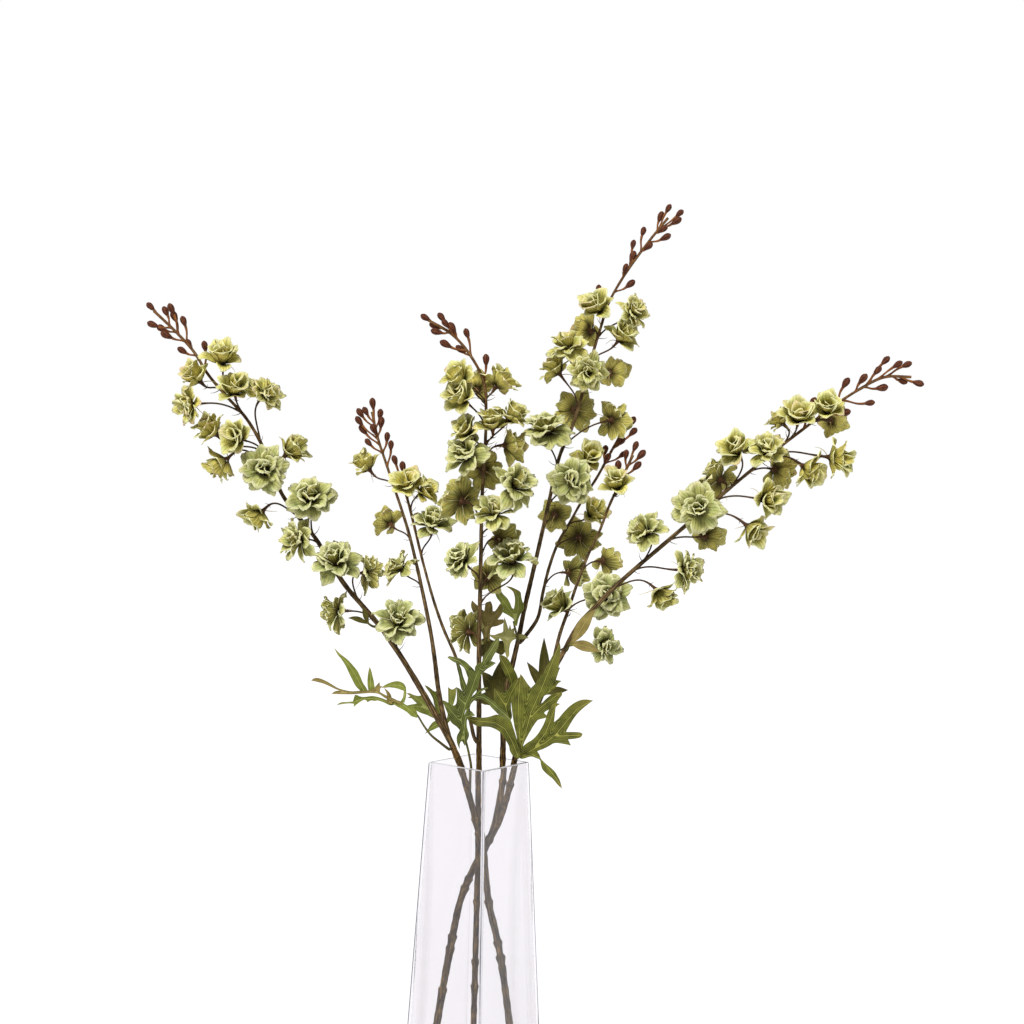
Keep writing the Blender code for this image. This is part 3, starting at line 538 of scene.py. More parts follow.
SPRAYS = {
    "spray_far_left": {
        "on": "stalk_left",
        "lap": True,
        "route": [(450, 740, -10), (430, 705, -14), (400, 655, -21), (375, 620, -27), (345, 585, -32),
                  (310, 530, -39), (285, 500, -43), (262, 445, -48), (240, 410, -51), (215, 385, -53),
                  (202, 363, -54), (190, 347, -54), (172, 328, -54), (154, 311, -53)],
        "radii": (3.2, 1.0),
        "blooms": [(222, 357, 38, "fu", 0.6), (234, 389, 30, "fu"), (267, 392, 38, "fru"),
                   (188, 405, 36, "lf"), (196, 377, 30, "lu", 0.7), (212, 430, 30, "lu", 0.7),
                   (236, 438, 30, "ffl"), (222, 464, 32, "ld", 0.7), (264, 470, 45, "f"),
                   (291, 451, 32, "ru"), (310, 495, 50, "fu", 1.0), (258, 516, 30, "ld", 0.6),
                   (296, 540, 40, "fl"), (336, 559, 45, "fu"), (369, 572, 36, "brr"),
                   (334, 611, 38, "l"), (397, 618, 50, "fu", 1.0)],
        "buds": [(151, 307), (166, 312), (172, 310), (175, 318), (184, 322), (154, 325),
                 (163, 329), (168, 336), (189, 344), (183, 351), (205, 347)],
    },
    "spray_near_left": {
        "on": "stalk_left",
        "route": [(449, 738, -2), (440, 700, 10), (432, 640, 27), (420, 580, 43), (408, 530, 55),
                  (395, 490, 63), (385, 460, 68), (377, 435, 71), (372, 412, 73)],
        "radii": (2.7, 1.0),
        "blooms": [(366, 465, 30, "lu", 0.6), (388, 522, 28, "lub"), (398, 566, 36, "lu")],
        "buds": [(373, 405), (366, 412), (361, 414), (380, 415), (360, 422), (381, 424),
                 (364, 431), (374, 430), (387, 438), (369, 443), (391, 446)],
    },
    "spray_thin": {
        "on": "stalk_centre",
        "route": [(474, 735, 4), (464, 690, 7), (455, 655, 8), (440, 620, 8), (425, 570, 8),
                  (414, 525, 7), (405, 490, 6), (400, 474, 5)],
        "radii": (2.0, 1.0),
        "blooms": [(407, 482, 30, "fu", 0.6), (424, 490, 26, "ru"), (432, 521, 42, "uuf")],
        "buds": [(395, 461), (403, 468)],
    },
    "spray_centre": {
        "on": "stalk_centre",
        "lap": True,
        "route": [(479, 740, 0), (479, 690, -7), (479, 640, -18), (480, 600, -28), (481, 550, -39),
                  (482, 500, -48), (485, 450, -56), (486, 405, -62), (482, 375, -65),
                  (470, 355, -67), (455, 337, -68), (440, 326, -68), (428, 320, -68)],
        "radii": (2.7, 1.0),
        "blooms": [(459, 378, 28, "luf", 0.6), (461, 397, 30, "luf", 0.6), (499, 382, 30, "ruu"),
                   (478, 387, 28, "bu"), (492, 423, 34, "uuf"), (512, 416, 28, "ru"),
                   (466, 430, 28, "luf"), (465, 453, 42, "luf"), (510, 445, 30, "r"),
                   (484, 470, 34, "b", 0.8, 4), (459, 500, 45, "bl"), (518, 484, 45, "fur"),
                   (494, 510, 40, "uuf"), (460, 559, 40, "lu"), (511, 556, 52, "uuf", 1.0),
                   (502, 540, 34, "br"), (488, 578, 34, "b"), (465, 631, 40, "bl")],
        "buds": [(426, 318), (442, 318), (446, 324), (435, 326), (438, 332), (453, 329),
                 (467, 334), (447, 345), (461, 350), (486, 361)],
    },
    "spray_tall_right": {
        "on": "stalk_right",
        "lap": True,
        "route": [(503, 745, 8), (505, 700, 14), (518, 641, 23), (525, 606, 29), (533, 572, 34),
                  (545, 520, 41), (560, 455, 49), (575, 420, 53), (588, 370, 57), (600, 330, 60),
                  (610, 300, 61), (628, 270, 62), (650, 240, 62), (668, 218, 62)],
        "radii": (2.9, 1.0),
        "blooms": [(597, 306, 33, "luf", 0.6), (634, 311, 36, "rfu"), (568, 344, 38, "uuf"),
                   (587, 330, 32, "bl"), (622, 336, 32, "ruf"), (556, 369, 30, "lu", 0.6),
                   (588, 373, 38, "f"), (613, 373, 30, "rb"), (575, 411, 42, "b"),
                   (614, 420, 40, "rb"), (547, 427, 48, "uuf"), (572, 480, 45, "f"),
                   (554, 515, 30, "b")],
        "buds": [(668, 209), (679, 214), (675, 222), (660, 218), (662, 230), (664, 238), (643, 232),
                 (648, 247), (633, 245), (632, 258), (625, 269), (629, 285), (599, 291)],
    },
    "spray_far_right": {
        "on": "stalk_right",
        "shoot": 1,
        "lap": True,
        "route": [(519, 745, 2), (530, 722, -1), (547, 683, -6), (562, 655, -11), (578, 626, -16),
                  (596, 606, -20), (621, 581, -26), (650, 556, -32), (684, 527, -38), (718, 498, -44),
                  (760, 463, -50), (785, 443, -53), (810, 424, -55), (838, 403, -57), (869, 384, -58),
                  (895, 374, -58), (911, 377, -57)],
        "radii": (3.0, 1.0),
        "blooms": [(780, 421, 24, "lu"), (798, 416, 30, "fu"), (828, 408, 28, "uf"),
                   (833, 421, 26, "br"), (735, 449, 32, "flu"), (766, 448, 38, "fu"),
                   (778, 470, 30, "br"), (716, 477, 42, "blu"), (836, 458, 32, "r"),
                   (808, 470, 32, "rd", 0.7), (768, 500, 32, "rf"), (752, 530, 32, "rd"),
                   (699, 508, 50, "f", 1.0), (708, 536, 34, "br"), (644, 530, 38, "flu"),
                   (688, 570, 40, "rf"), (661, 594, 30, "rd")],
        "buds": [(917, 383), (906, 365), (897, 365), (902, 381), (885, 361), (877, 371), (880, 388),
                 (862, 380), (845, 384), (869, 403), (842, 413), (825, 400), (812, 404)],
    },
    "spray_back_right": {
        "on": "spray_tall_right",
        "route": [(529, 646, 31), (537, 620, 42), (543, 592, 55), (551, 561, 68), (560, 539, 77),
                  (573, 517, 85), (590, 487, 94), (605, 466, 99), (613, 445, 103), (622, 432, 105)],
        "radii": (2.0, 1.0),
        "blooms": [(588, 458, 32, "uf"), (594, 513, 30, "ru", 0.6), (578, 538, 42, "b"),
                   (572, 573, 30, "rb")],
        "buds": [(631, 423), (632, 433), (621, 442), (605, 451), (622, 455), (607, 459)],
    },
    "spray_short_right": {
        "on": "spray_far_right",
        "route": [(550, 664, 0), (562, 626, 11), (571, 603, 18), (578, 581, 23), (584, 564, 26),
                  (597, 537, 29), (607, 512, 30), (613, 496, 30), (626, 471, 29), (633, 455, 28)],
        "radii": (2.0, 1.0),
        "blooms": [(616, 483, 32, "uuf", 0.6), (606, 561, 34, "br"), (607, 597, 46, "f"),
                   (560, 605, 32, "lu"), (606, 645, 38, "rf")],
        "buds": [(635, 447), (640, 456), (626, 455), (636, 467), (618, 468)],
    },
}

LEAVES = {
    "leaf_left": {
        "on": "stalk_left",
        "petiole": [(447, 748, -16), (430, 734, -24), (418, 716, -30)],
        "lobes": [(337, 704, -58, 12), (312, 680, -52, 14), (336, 650, -44, 16), (372, 664, -36, 14),
                  (402, 682, -24, 12)],
    },
    "leaf_left_back": {
        "on": "spray_near_left",
        "petiole": [(447, 726, 14), (445, 722, 22), (441, 716, 28)],
        "lobes": [(424, 734, 34, 14), (404, 697, 40, 18), (420, 680, 46, 20), (452, 686, 40, 16)],
    },
    "leaf_centre": {
        "on": "stalk_left",
        "petiole": [(471, 798, -18), (471, 765, -20), (466, 742, -24), (463, 724, -27)],
        "lobes": [(451, 690, -34, 14), (449, 656, -38, 20), (497, 644, -50, 26), (499, 676, -56, 18),
                  (511, 717, -62, 20)],
    },
    "leaf_right": {
        "on": "stalk_right",
        "petiole": [(518, 756, -8), (520, 757, -14), (521, 757, -20)],
        "lobes": [(471, 718, -14, 24), (498, 686, -46, 22), (520, 673, -58, 26), (559, 647, -52, 32),
                  (593, 700, -40, 28), (583, 734, -46, 16), (562, 787, -30, 18)],
    },
    "leaf_back": {
        "on": "spray_tall_right",
        "petiole": [(504, 716, 20), (502, 710, 28), (500, 704, 36)],
        "lobes": [(474, 700, 52, 18), (482, 672, 58, 20), (500, 662, 64, 22), (520, 680, 60, 18)],
    },
    "leaf_upper": {
        "on": "spray_tall_right",
        "petiole": [(519, 640, 10), (516, 632, 4), (514, 624, 0)],
        "lobes": [(496, 600, -6, 14), (506, 590, -8, 14), (522, 596, -4, 16)],
    },
    "leaf_centre_back": {
        "on": "spray_centre",
        "petiole": [(481, 656, -2), (484, 646, 6), (487, 638, 12)],
        "lobes": [(470, 604, 18, 18), (490, 598, 14, 18), (508, 612, 20, 16)],
    },
    "leaf_right_back": {
        "on": "spray_far_right",
        "petiole": [(538, 706, 8), (541, 700, 16), (543, 695, 24)],
        "lobes": [(527, 662, 34, 14), (544, 638, 40, 18), (560, 668, 34, 16), (568, 690, 30, 12)],
    },
    "leaf_sheath": {
        "on": "spray_far_right",
        "petiole": [(566, 652, -18), (568, 648, -24), (570, 644, -28)],
        "lobes": [(596, 609, -34, 14), (600, 652, -42, 12)],
    },
    "leaf_slender": {
        "on": "spray_far_left",
        "petiole": [(376, 626, -30), (372, 626, -34), (369, 624, -36)],
        "lobes": [(348, 618, -42, 8), (362, 607, -40, 8)],
    },
}

# %% [markdown]
# ## Bark
#
# Cut stalks dry to a dull grey brown with fine ribs along them and a ring where each leaf fell. A tube
# along a curve keeps its ribs straight, because its UV map runs along and around the stalk. Short
# swellings in the radius make the rings.

# %% Tubes
# mm from one thicker place of a stalk to the next
UNEVEN_SIZE = 6
TUBE_SMOOTH = math.radians(50)


def tubes(name, lines, roundness):
    """One mesh of round tubes, each given as its points and radii in millimetres."""
    curve = bpy.data.curves.new(name, "CURVE")
    curve.dimensions = "3D"
    curve.bevel_depth = MM
    curve.bevel_resolution = roundness
    curve.use_fill_caps = True
    for points, radii in lines:
        line = curve.splines.new("POLY")
        line.points.add(len(points) - 1)
        for place, point, radius in zip(line.points, points, radii):
            place.co = (*point, 1.0)
            place.radius = radius
    only(put(name, curve))
    bpy.ops.object.convert(target="MESH")
    piece = bpy.context.object
    bpy.ops.object.mode_set(mode="EDIT")
    bpy.ops.mesh.select_all(action="SELECT")
    bpy.ops.mesh.remove_doubles(threshold=MM / 100)
    bpy.ops.mesh.normals_make_consistent(inside=False)
    bpy.ops.object.mode_set(mode="OBJECT")
    bpy.ops.object.shade_smooth_by_angle(angle=TUBE_SMOOTH)
    return piece


def uneven(radius, point, share):
    """A radius with a slight natural unevenness along the stalk."""
    return radius * (1 + share * noise.noise(point / (UNEVEN_SIZE * MM)))


# %% [markdown]
# The bark's colour goes from one tone at the root to a redder one at the tip. Noise that is stretched
# lengthwise draws the ribs, and a second noise gives blotches of a few millimetres.


# %% Bark materials
def bark_material(name, low, high, rib, turn_red=0.6):
    """Dry ribbed bark that goes from one colour at the root to another at the tip."""
    look, tree, shader = new_material(name, Roughness=0.78, Specular_IOR_Level=0.15)
    uv = add_node(tree, "UVMap", uv_map="UVMap")
    place = add_node(tree, "TexCoord")
    parts = add_node(tree, "SeparateXYZ", {0: uv})
    up = add_node(tree, "MapRange", {"Value": parts.outputs["X"], "From Min": turn_red - 0.25,
                                     "From Max": turn_red + 0.2})
    base = add_node(tree, "MixRGB", {"Fac": up, "Color1": linear(low), "Color2": linear(high)})
    # ribs of about 1 mm run along the stalk, so the pattern is stretched lengthwise
    stretch = add_node(tree, "Mapping", {"Vector": uv, "Scale": (18, 9, 1)})
    ribs = add_node(tree, "TexNoise", {"Vector": stretch, "Scale": 1.6, "Detail": 4})
    blotch = add_node(tree, "TexNoise", {"Vector": place.outputs["Object"], "Scale": 200, "Detail": 3})
    contrast = add_node(tree, "MapRange", {"Value": ribs.outputs["Fac"], "From Min": 0.45,
                                           "From Max": 0.62, "To Max": 0.9})
    mottled = add_node(tree, "MixRGB", {"Fac": contrast, "Color1": base, "Color2": linear(rib)})
    share = add_node(tree, "MapRange", {"Value": blotch.outputs["Fac"], "From Min": 0.35,
                                        "From Max": 0.68, "To Min": 0.6, "To Max": 1.25})
    shade = add_node(tree, "VectorMath", {0: mottled, "Scale": share}, operation="SCALE")
    tree.links.new(shade.outputs[0], shader.inputs["Base Color"])
    bump = add_node(tree, "Bump", {"Height": ribs.outputs["Fac"], "Strength": 0.6, "Distance": 0.0006})
    tree.links.new(bump.outputs[0], shader.inputs["Normal"])
    return look


stalk_bark = bark_material("dry grey-brown bark", "#39260A", "#302010", "#8C6C38")
spray_bark = bark_material("dry brown bark, redder at the tip", "#3A2D1B", "#6A3E20", "#8A7048", 0.85)
pedicel_skin = bark_material("dark flower stalk skin", "#3A2A1C", "#46291A", "#6A5236")
young_skin = bark_material("red-brown skin of young stalks", "#643A20", "#7A4826", "#A06C3C")

# %% [markdown]
# The stalks stand on the vase's floor and swell where old leaves grew. Small scars beside those joints
# swell in the same way. Each stalk's line is kept, because sprays and leaves grow from it.

# %% Stalks
# how much a ring swells, how many mm above and below itself, and how near to the stalk it is written
RING_SWELL = 0.34
RING_ABOVE = 1.0
RING_BELOW = 5.0
RING_NEAR = 15.0
STALK_FINE = 0.9
STALK_UNEVEN = 0.14
# smaller scars beside the main ones
SCARS = {
    "stalk_left": [(496, 940), (502, 965), (487, 900), (479, 832)],
    "stalk_centre": [(477, 900), (478, 985)],
    "stalk_right": [(463, 876), (453, 936), (446, 990), (488, 838), (510, 782)],
}


def with_rings(path, radii, rings):
    """Radii along a path, uneven, and swollen at each ring, more gently below it than above."""
    sizes = []
    for i, point in enumerate(path):
        share = i / (len(path) - 1)
        size = radii[0] * (1 - share) + radii[1] * share
        for ring in rings:
            away = (point - ring).length / MM
            half = RING_ABOVE if point.z > ring.z else RING_BELOW
            size *= 1 + RING_SWELL * math.exp(-(away / half) ** 2)
        sizes.append(uneven(size, point, STALK_UNEVEN))
    return sizes


def stalk_line(route, stands):
    """A fine path along a stalk; one that stands in the vase starts upright on its floor."""
    points = [spot(*place) for place in route]
    if not stands:
        return smooth_path(points, STALK_STEP * MM)
    foot = Vector((points[0].x, points[0].y, VASE_FLOOR + GAP * MM))
    ankle = foot + Vector((0, 0, FOOT_RISE * MM))
    return [foot, *smooth_path([ankle, *points[1:]], STALK_STEP * MM)]


carriers = {}
for name, spec in STALKS.items():
    lines = []
    carriers[name] = []
    for k, (route, radii) in enumerate(zip(spec["routes"], spec["radii"])):
        line = stalk_line(route, k == 0)
        carriers[name].append(Carrier(line, radii))
        fine = smooth_path(line, STALK_FINE * MM)
        rings = []
        for ring in spec["joints"] + SCARS[name]:
            ring = spot(*ring, fine[0].y / MM)
            point = min(fine, key=lambda p: (p - ring).length)
            if (point - ring).length < RING_NEAR * MM:
                rings.append(point)
        lines.append((fine, with_rings(fine, radii, rings)))
    stalk = tubes(name + "_bark", lines, 4)
    stalk.data.materials.append(stalk_bark)
    hand_in(stalk, "bark", name)

# %% [markdown]
# ## Petals
#
# A bloom of this kind is double: four rings of petals, each ring smaller and steeper than the one below.
# The petals are thin, rolled like a spoon, pleated lengthwise and ruffled at the edge. Each ring has a
# kind of petal of its own, and young blooms have a broader, smoother kind, the goblet. Each kind is
# modelled in six forms, in shares of a bloom's width, and copies of them are then set round the bloom.

# %% Petal forms
PETAL_ACROSS = 6
PETAL_ALONG = 7
PETAL_THICK = 0.009
FORMS = 6
# how far the forms of a kind differ in curl, in degrees, in roll and in lean
RISE_SWING = 10
FLARE_SWING = 16
ROLL_RANGE = (0.6, 1.3)
SIDE_LEAN_RANGE = (-0.14, 0.14)
PETAL_OUTLINE = (0.30, 0.52, 0.76, 0.93, 1.0, 0.98, 0.86, 0.56)
# length and width in shares of a bloom's width, half the angle it is rolled through, how far it curls
# up and then falls back in degrees, and the depth of its pleats and of its ruffled edge
PETAL_KINDS = {
    "skirt": (0.43, 0.31, 0.45, 12, 30, 0.012, 0.036),
    "outer": (0.41, 0.31, 0.65, 26, 36, 0.013, 0.042),
    "cup": (0.37, 0.29, 1.00, 28, 34, 0.011, 0.036),
    "heart": (0.30, 0.24, 1.20, 20, 10, 0.010, 0.028),
    "goblet": (0.57, 0.50, 0.85, 28, 28, 0.004, 0.012),
}


def midrib_rows(rise, flare):
    """Places and slopes along a petal's midrib, which curls up and then falls back at the tip."""
    fine = 8
    place = Vector((0, 0))
    rows = [(place.copy(), 0.0)]
    for i in range(PETAL_ALONG * fine):
        along = (i + 0.5) / (PETAL_ALONG * fine)
        slope = rise * math.sin(math.pi * along) - flare * along**2
        place += Vector((math.cos(slope), math.sin(slope))) / (PETAL_ALONG * fine)
        if (i + 1) % fine == 0:
            rows.append((place.copy(), slope))
    return rows


def petal_form(name, kind, draw):
    """One petal from a flat grid, rolled, curled and ruffled."""
    length, width, roll, rise, flare, pleat, ruffle = kind
    petal = grid_form(name, PETAL_ACROSS, PETAL_ALONG, PETAL_OUTLINE)
    phase = draw.uniform(0, math.tau)
    rise += draw.uniform(-RISE_SWING, RISE_SWING)
    flare += draw.uniform(-FLARE_SWING, FLARE_SWING)
    rows = midrib_rows(math.radians(rise), math.radians(flare))
    roll *= draw.uniform(*ROLL_RANGE)
    lean = draw.uniform(*SIDE_LEAN_RANGE)
    for corner in petal.data.vertices:
        row = round(corner.co.y * PETAL_ALONG)
        along = row / PETAL_ALONG
        side = corner.co.x / (0.5 * PETAL_OUTLINE[row])
        # the roll is tighter at the base, and its arc is as long as the petal is wide there
        turn = roll * (1.2 - 0.5 * along) * side
        half = 0.5 * width * PETAL_OUTLINE[row] / (roll * (1.2 - 0.5 * along))
        waves = math.sin(7 * along + phase + 2.6 * side) + 0.5 * math.sin(4 * side + 2 * phase)
        lift = half * (1 - math.cos(turn)) + ruffle * along**1.5 * abs(side) ** 1.5 * waves
        lift += pleat * min(1, 2 * along) * math.cos(3 * math.pi * side + 0.5 * math.sin(phase))
        place, slope = rows[row]
        uneven_end = 0.04 * math.sin(3 * side + phase) * along
        reach = length * (1 - 0.24 * abs(side) ** 2.2 * along**2 + uneven_end)
        corner.co = Vector((half * math.sin(turn) + lean * width * along**2,
                            place.x * reach - lift * math.sin(slope),
                            place.y * reach + lift * math.cos(slope)))
    for look in (petal_face, petal_under, petal_edge_highlight):
        petal.data.materials.append(look)
    thick = petal.modifiers.new("Thickness", "SOLIDIFY")
    thick.thickness = PETAL_THICK
    thick.offset = -1
    thick.material_offset = 1
    # the cut edge gets the painted highlight, except on the smooth young goblet petals
    thick.material_offset_rim = 0 if name.startswith("goblet") else 2
    bpy.ops.object.modifier_apply(modifier=thick.name)
    bpy.ops.object.shade_smooth()
    for attribute in ("age", "chance"):
        petal.data.attributes.new(attribute, "FLOAT", "POINT")
    return petal


# %% [markdown]
# Petals of this colour are green tissue: yellow-green while young, near the tip of a spray, and greyer
# green lower down. Their veins run lengthwise and fan out with the outline, so the pattern follows the
# petal's UV map. The base is darkened as painted shade, where the petals lie in each other's shade,
# the edge is painted pale as a highlight, and a few tips have a blush of pink. The underside is more
# olive, with paler veins. Each petal carries its bloom's age and a chance as attributes.


# %% Petal materials
# base is the colour of the painted shade at the foot of each petal, and edge the pale colour of the
# painted highlight at its margin
def petal_material(name, old, young, cool_tone, nerve, base, edge, shade_reach, vein_share):
    """Thin veined tissue, with painted shade at its base and a painted highlight at its edge."""
    look, tree, shader = new_material(name, Roughness=0.75, Specular_IOR_Level=0.12)
    uv = add_node(tree, "UVMap", uv_map="UVMap")
    place = add_node(tree, "TexCoord")
    age = add_node(tree, "Attribute", attribute_name="age")
    chance = add_node(tree, "Attribute", attribute_name="chance")
    parts = add_node(tree, "SeparateXYZ", {0: uv})
    along = parts.outputs["Y"]
    body = add_node(tree, "MixRGB", {"Fac": age.outputs["Fac"], "Color1": linear(old),
                                     "Color2": linear(young)})
    # patches of lighter and darker tissue, about 8 mm across
    patch = add_node(tree, "TexNoise", {"Vector": place.outputs["Object"], "Scale": 120, "Detail": 3})
    cool = add_node(tree, "MapRange", {"Value": patch.outputs["Color"], "From Min": 0.45,
                                       "From Max": 0.62, "To Max": 0.45})
    greener = add_node(tree, "MixRGB", {"Fac": cool, "Color1": body, "Color2": linear(cool_tone)})
    patch_shade = add_node(tree, "MapRange", {"Value": patch.outputs["Fac"], "From Min": 0.3,
                                              "From Max": 0.7, "To Min": 0.56, "To Max": 1.3})
    patched = add_node(tree, "VectorMath", {0: greener, "Scale": patch_shade}, operation="SCALE")
    # about five veins across a petal, bent a little by noise
    wobble = add_node(tree, "TexNoise", {"Vector": uv, "Scale": 3, "Detail": 2})
    slide = add_node(tree, "Math", {0: wobble.outputs["Fac"], 1: 0.16, 2: parts.outputs["X"]},
                     operation="MULTIPLY_ADD")
    turns = add_node(tree, "Math", {0: slide, 1: 34.0}, operation="MULTIPLY")
    wave = add_node(tree, "Math", {0: turns}, operation="SINE")
    vein = add_node(tree, "MapRange", {"Value": wave, "From Min": 0.3, "From Max": 1.0,
                                       "To Max": vein_share})
    veined = add_node(tree, "MixRGB", {"Fac": vein, "Color1": patched, "Color2": linear(nerve)})
    # painted shade: darker towards the base, where the petals lie deep in each other's shade
    reach = add_node(tree, "Math", {0: age.outputs["Fac"], 1: -0.34, 2: shade_reach},
                     operation="MULTIPLY_ADD")
    low = add_node(tree, "MapRange", {"Value": along, "From Min": 0.02, "From Max": reach,
                                      "To Min": 0.92, "To Max": 0}, interpolation_type="SMOOTHSTEP")
    shaded_throat = add_node(tree, "MixRGB", {"Fac": low, "Color1": veined, "Color2": linear(base)})
    # painted highlight: pale towards the edge on every side, where light catches the thin margin
    side = add_node(tree, "Math", {0: parts.outputs["X"], 1: 0.5}, operation="SUBTRACT")
    away = add_node(tree, "Math", {0: side}, operation="ABSOLUTE")
    both = add_node(tree, "Math", {0: away, 1: 0.5, 2: along}, operation="MULTIPLY_ADD")
    edge_highlight = add_node(tree, "MapRange", {"Value": both, "From Min": 0.7, "From Max": 1.2, "To Max": 0.8},
                   interpolation_type="SMOOTHSTEP")
    highlighted = add_node(tree, "MixRGB", {"Fac": edge_highlight, "Color1": shaded_throat, "Color2": linear(edge)})
    # a blush at the tips of some young blooms
    few = add_node(tree, "MapRange", {"Value": chance.outputs["Fac"], "From Min": 0.7,
                                      "From Max": 0.95})
    ripe = add_node(tree, "Math", {0: few, 1: age.outputs["Fac"]}, operation="MULTIPLY")
    tip = add_node(tree, "MapRange", {"Value": along, "From Min": 0.72, "From Max": 1.0, "To Max": 0.8})
    spread = add_node(tree, "Math", {0: ripe, 1: tip}, operation="MULTIPLY")
    blush = add_node(tree, "MixRGB", {"Fac": spread, "Color1": highlighted, "Color2": linear("#CDA98C")})
    tree.links.new(blush.outputs[0], shader.inputs["Base Color"])
    bump = add_node(tree, "Bump", {"Height": wave, "Strength": 0.35, "Distance": 0.0004})
    tree.links.new(bump.outputs[0], shader.inputs["Normal"])
    return look


# after the vein colour come the painted shade at the base, the painted highlight at the edge and how far
# up the shade reaches
petal_face = petal_material("petal tissue, face", "#AEB06C", "#DACE68", "#8EA46E", "#666A2C", "#281C02",
                            "#EEECBC", 0.55, 0.5)
petal_under = petal_material("petal tissue, underside", "#868640", "#CEC262", "#66784A", "#DCC470",
                             "#2E2206", "#C8C482", 0.8, 0.7)
# the cut edge of a petal is painted pale, as a highlight where light catches it
petal_edge_highlight = new_material("cut petal edge, painted pale as a highlight", Base_Color=linear("#E8E7BE"), Roughness=0.7)[0]

petal_draw = random.Random(5)
petal_forms = {
    kind: [petal_form(f"{kind}_petal_{i}", values, petal_draw) for i in range(FORMS)]
    for kind, values in PETAL_KINDS.items()
}
print("petal faces:", len(petal_forms["outer"][0].data.polygons))

# %% [markdown]
# ## Blooms
#
# A bloom faces its own way on a thin bent stalk. The widths of its rings follow from its own width, and
# its opening says how far the rings have laid themselves out: a young bloom near the tip is still a
# goblet of a few broad petals. Under the petals the stalk swells into a brown receptacle. A thin pair of
# bracts crosses the stalk below it, and a thread-like spur hangs out behind, as on a larkspur.

# %% Bloom placing
AIMS = {
    "l": Vector((-1, 0, 0)),
    "r": Vector((1, 0, 0)),
    "u": Vector((0, 0, 1)),
    "d": Vector((0, 0, -1)),
    "f": Vector((0, -1, 0)),
    "b": Vector((0, 1, 0)),
}
# how far a bloom's aim strays from the written one, and how far one seen from the side turns
AIM_SWING = 0.15
SIDE_SWING = 0.55
# mm that a bloom's middle stands out from the branch when it faces the front
BLOOM_REACH = 23.0
# blooms up to the first width are still nearly shut, and those above the second are the oldest
SMALL_BLOOM = 35
BIG_BLOOM = 40
OPEN_USUAL = 0.88
OPEN_SMALL = 0.68
# the opening at which a bloom is fully shut, and how shut it is to count as young
CLOSED = 0.6
HALF_SHUT = 0.5
# age rises along a branch and turns the petals yellower; the widest blooms that face the front keep
# a share of it, greyer with age and with painted shade
AGE_RISE = 1.5
AGE_START = -0.35
AGE_SWING = 0.15
BIG_AGE_AND_SHADE = 0.3
# how far below a bloom its stalk leaves the branch, how it leans and bends, and mm behind its face
ROOT_DROP = 1.2
PEDICEL_LEAN = 2.6
PEDICEL_PULL = 0.46
FACE_CLEAR = 3.0
# petals in the ring, their lift in an open and in a closed bloom, reach and height of their base
RINGS = {
    "skirt": (8, -4, 36, 0.075, -0.11),
    "outer": (8, 20, 52, 0.07, -0.085),
    "cup": (6, 48, 66, 0.06, -0.065),
    "heart": (3, 64, 76, 0.04, -0.045),
}
INNER_RINGS = ("cup", "heart")
# a bloom with few, large, folded petals in its middle
FEW = {"cup": 4, "heart": 2}
FEW_SHARE = 0.45
FEW_LARGER = 1.25
# a young bloom that is still a goblet: its petals, their lift in degrees and their size
YOUNG = {"skirt": 5, "outer": 5, "cup": 3, "heart": 1}
YOUNG_LIFT = {"skirt": 8, "outer": 44, "cup": 62, "heart": 74}
YOUNG_SIZE = {"skirt": 0.86, "outer": 1.0, "cup": 0.96, "heart": 0.8}
YOUNG_LOOSE = 0.55
# petals curl in, so a bloom is built wider than it is written, a young or small one most
WIDER = 1.05
YOUNG_WIDER = 1.1
SMALL_WIDER = 1.24
SMALLEST = 33
# how unevenly petals stand, turn and grow, and how much larger those of a shut bloom are
PETAL_SWING = 0.25
LIFT_SWING = 20
STEEPEST = 84
ROLL_SWING = 0.5
PETAL_SIZES = (0.84, 1.14)
TALLER = 0.4
# how far the inner rings lean and shift together
CUP_TILT = 0.4
CUP_SHIFT = 0.035
# the receptacle's place behind the petals and its radii, and how far a shut bloom sinks, in widths
RECEPTACLE_BACK = 0.25
RECEPTACLE_FRONT = 0.11
RECEPTACLE_RADII = (0.06, 0.10)
CLOSED_DROP = 0.12
# the radii in mm along a bloom's stalk, and the steps from its end to the receptacle's front
PEDICEL_RADII = (1.1, 1.1, *[0.85] * 8, 1.0, 1.2, 1.45)
RECEPTACLE_NECK = 1.7
RECEPTACLE_STEPS = (0.35, 0.7, 1.0)


def bloom_aim(letters, draw):
    """The way a bloom faces; one seen from the side also turns a little to the front or back."""
    aim = sum((AIMS[c] for c in letters), Vector()).normalized()
    swings = (AIM_SWING, AIM_SWING if aim.y else SIDE_SWING, AIM_SWING)
    return (aim + Vector([draw.uniform(-swing, swing) for swing in swings])).normalized()


def root_on(carrier, back, aim):
    """The point of the carrier a bloom's stalk grows from, below it and behind its face."""
    near = carrier.nearest(back)
    away = (carrier.path[near] - back).length
    wanted = near - round(ROOT_DROP * away / (CARRIER_STEP * MM))

    def cost(i):
        in_front = max(0.0, (carrier.path[i] - back).dot(aim) + FACE_CLEAR * MM)
        return abs(i - wanted) * CARRIER_STEP * MM + 4 * in_front

    last = len(carrier.path) - 1
    return min(range(min(4, last), min(near + 12, last - 1)), key=cost, default=near)


def arc(start, start_way, end, end_way, pull, count):
    """Points along a bent stalk that leaves and arrives in given directions."""
    a = start + start_way * pull
    b = end - end_way * pull
    points = []
    for i in range(count + 1):
        t = i / count
        early = start * (1 - t) ** 3 + a * 3 * t * (1 - t) ** 2
        points.append(early + b * 3 * t**2 * (1 - t) + end * t**3)
    return points


def set_petal(form, age, chance, matrix):
    """A copy of a petal form in its place."""
    petal = copy_of(form)
    petal.data.transform(matrix)
    for attribute, value in (("age", age), ("chance", chance)):
        values = petal.data.attributes[attribute].data
        values.foreach_set("value", [value] * len(petal.data.vertices))
    return petal


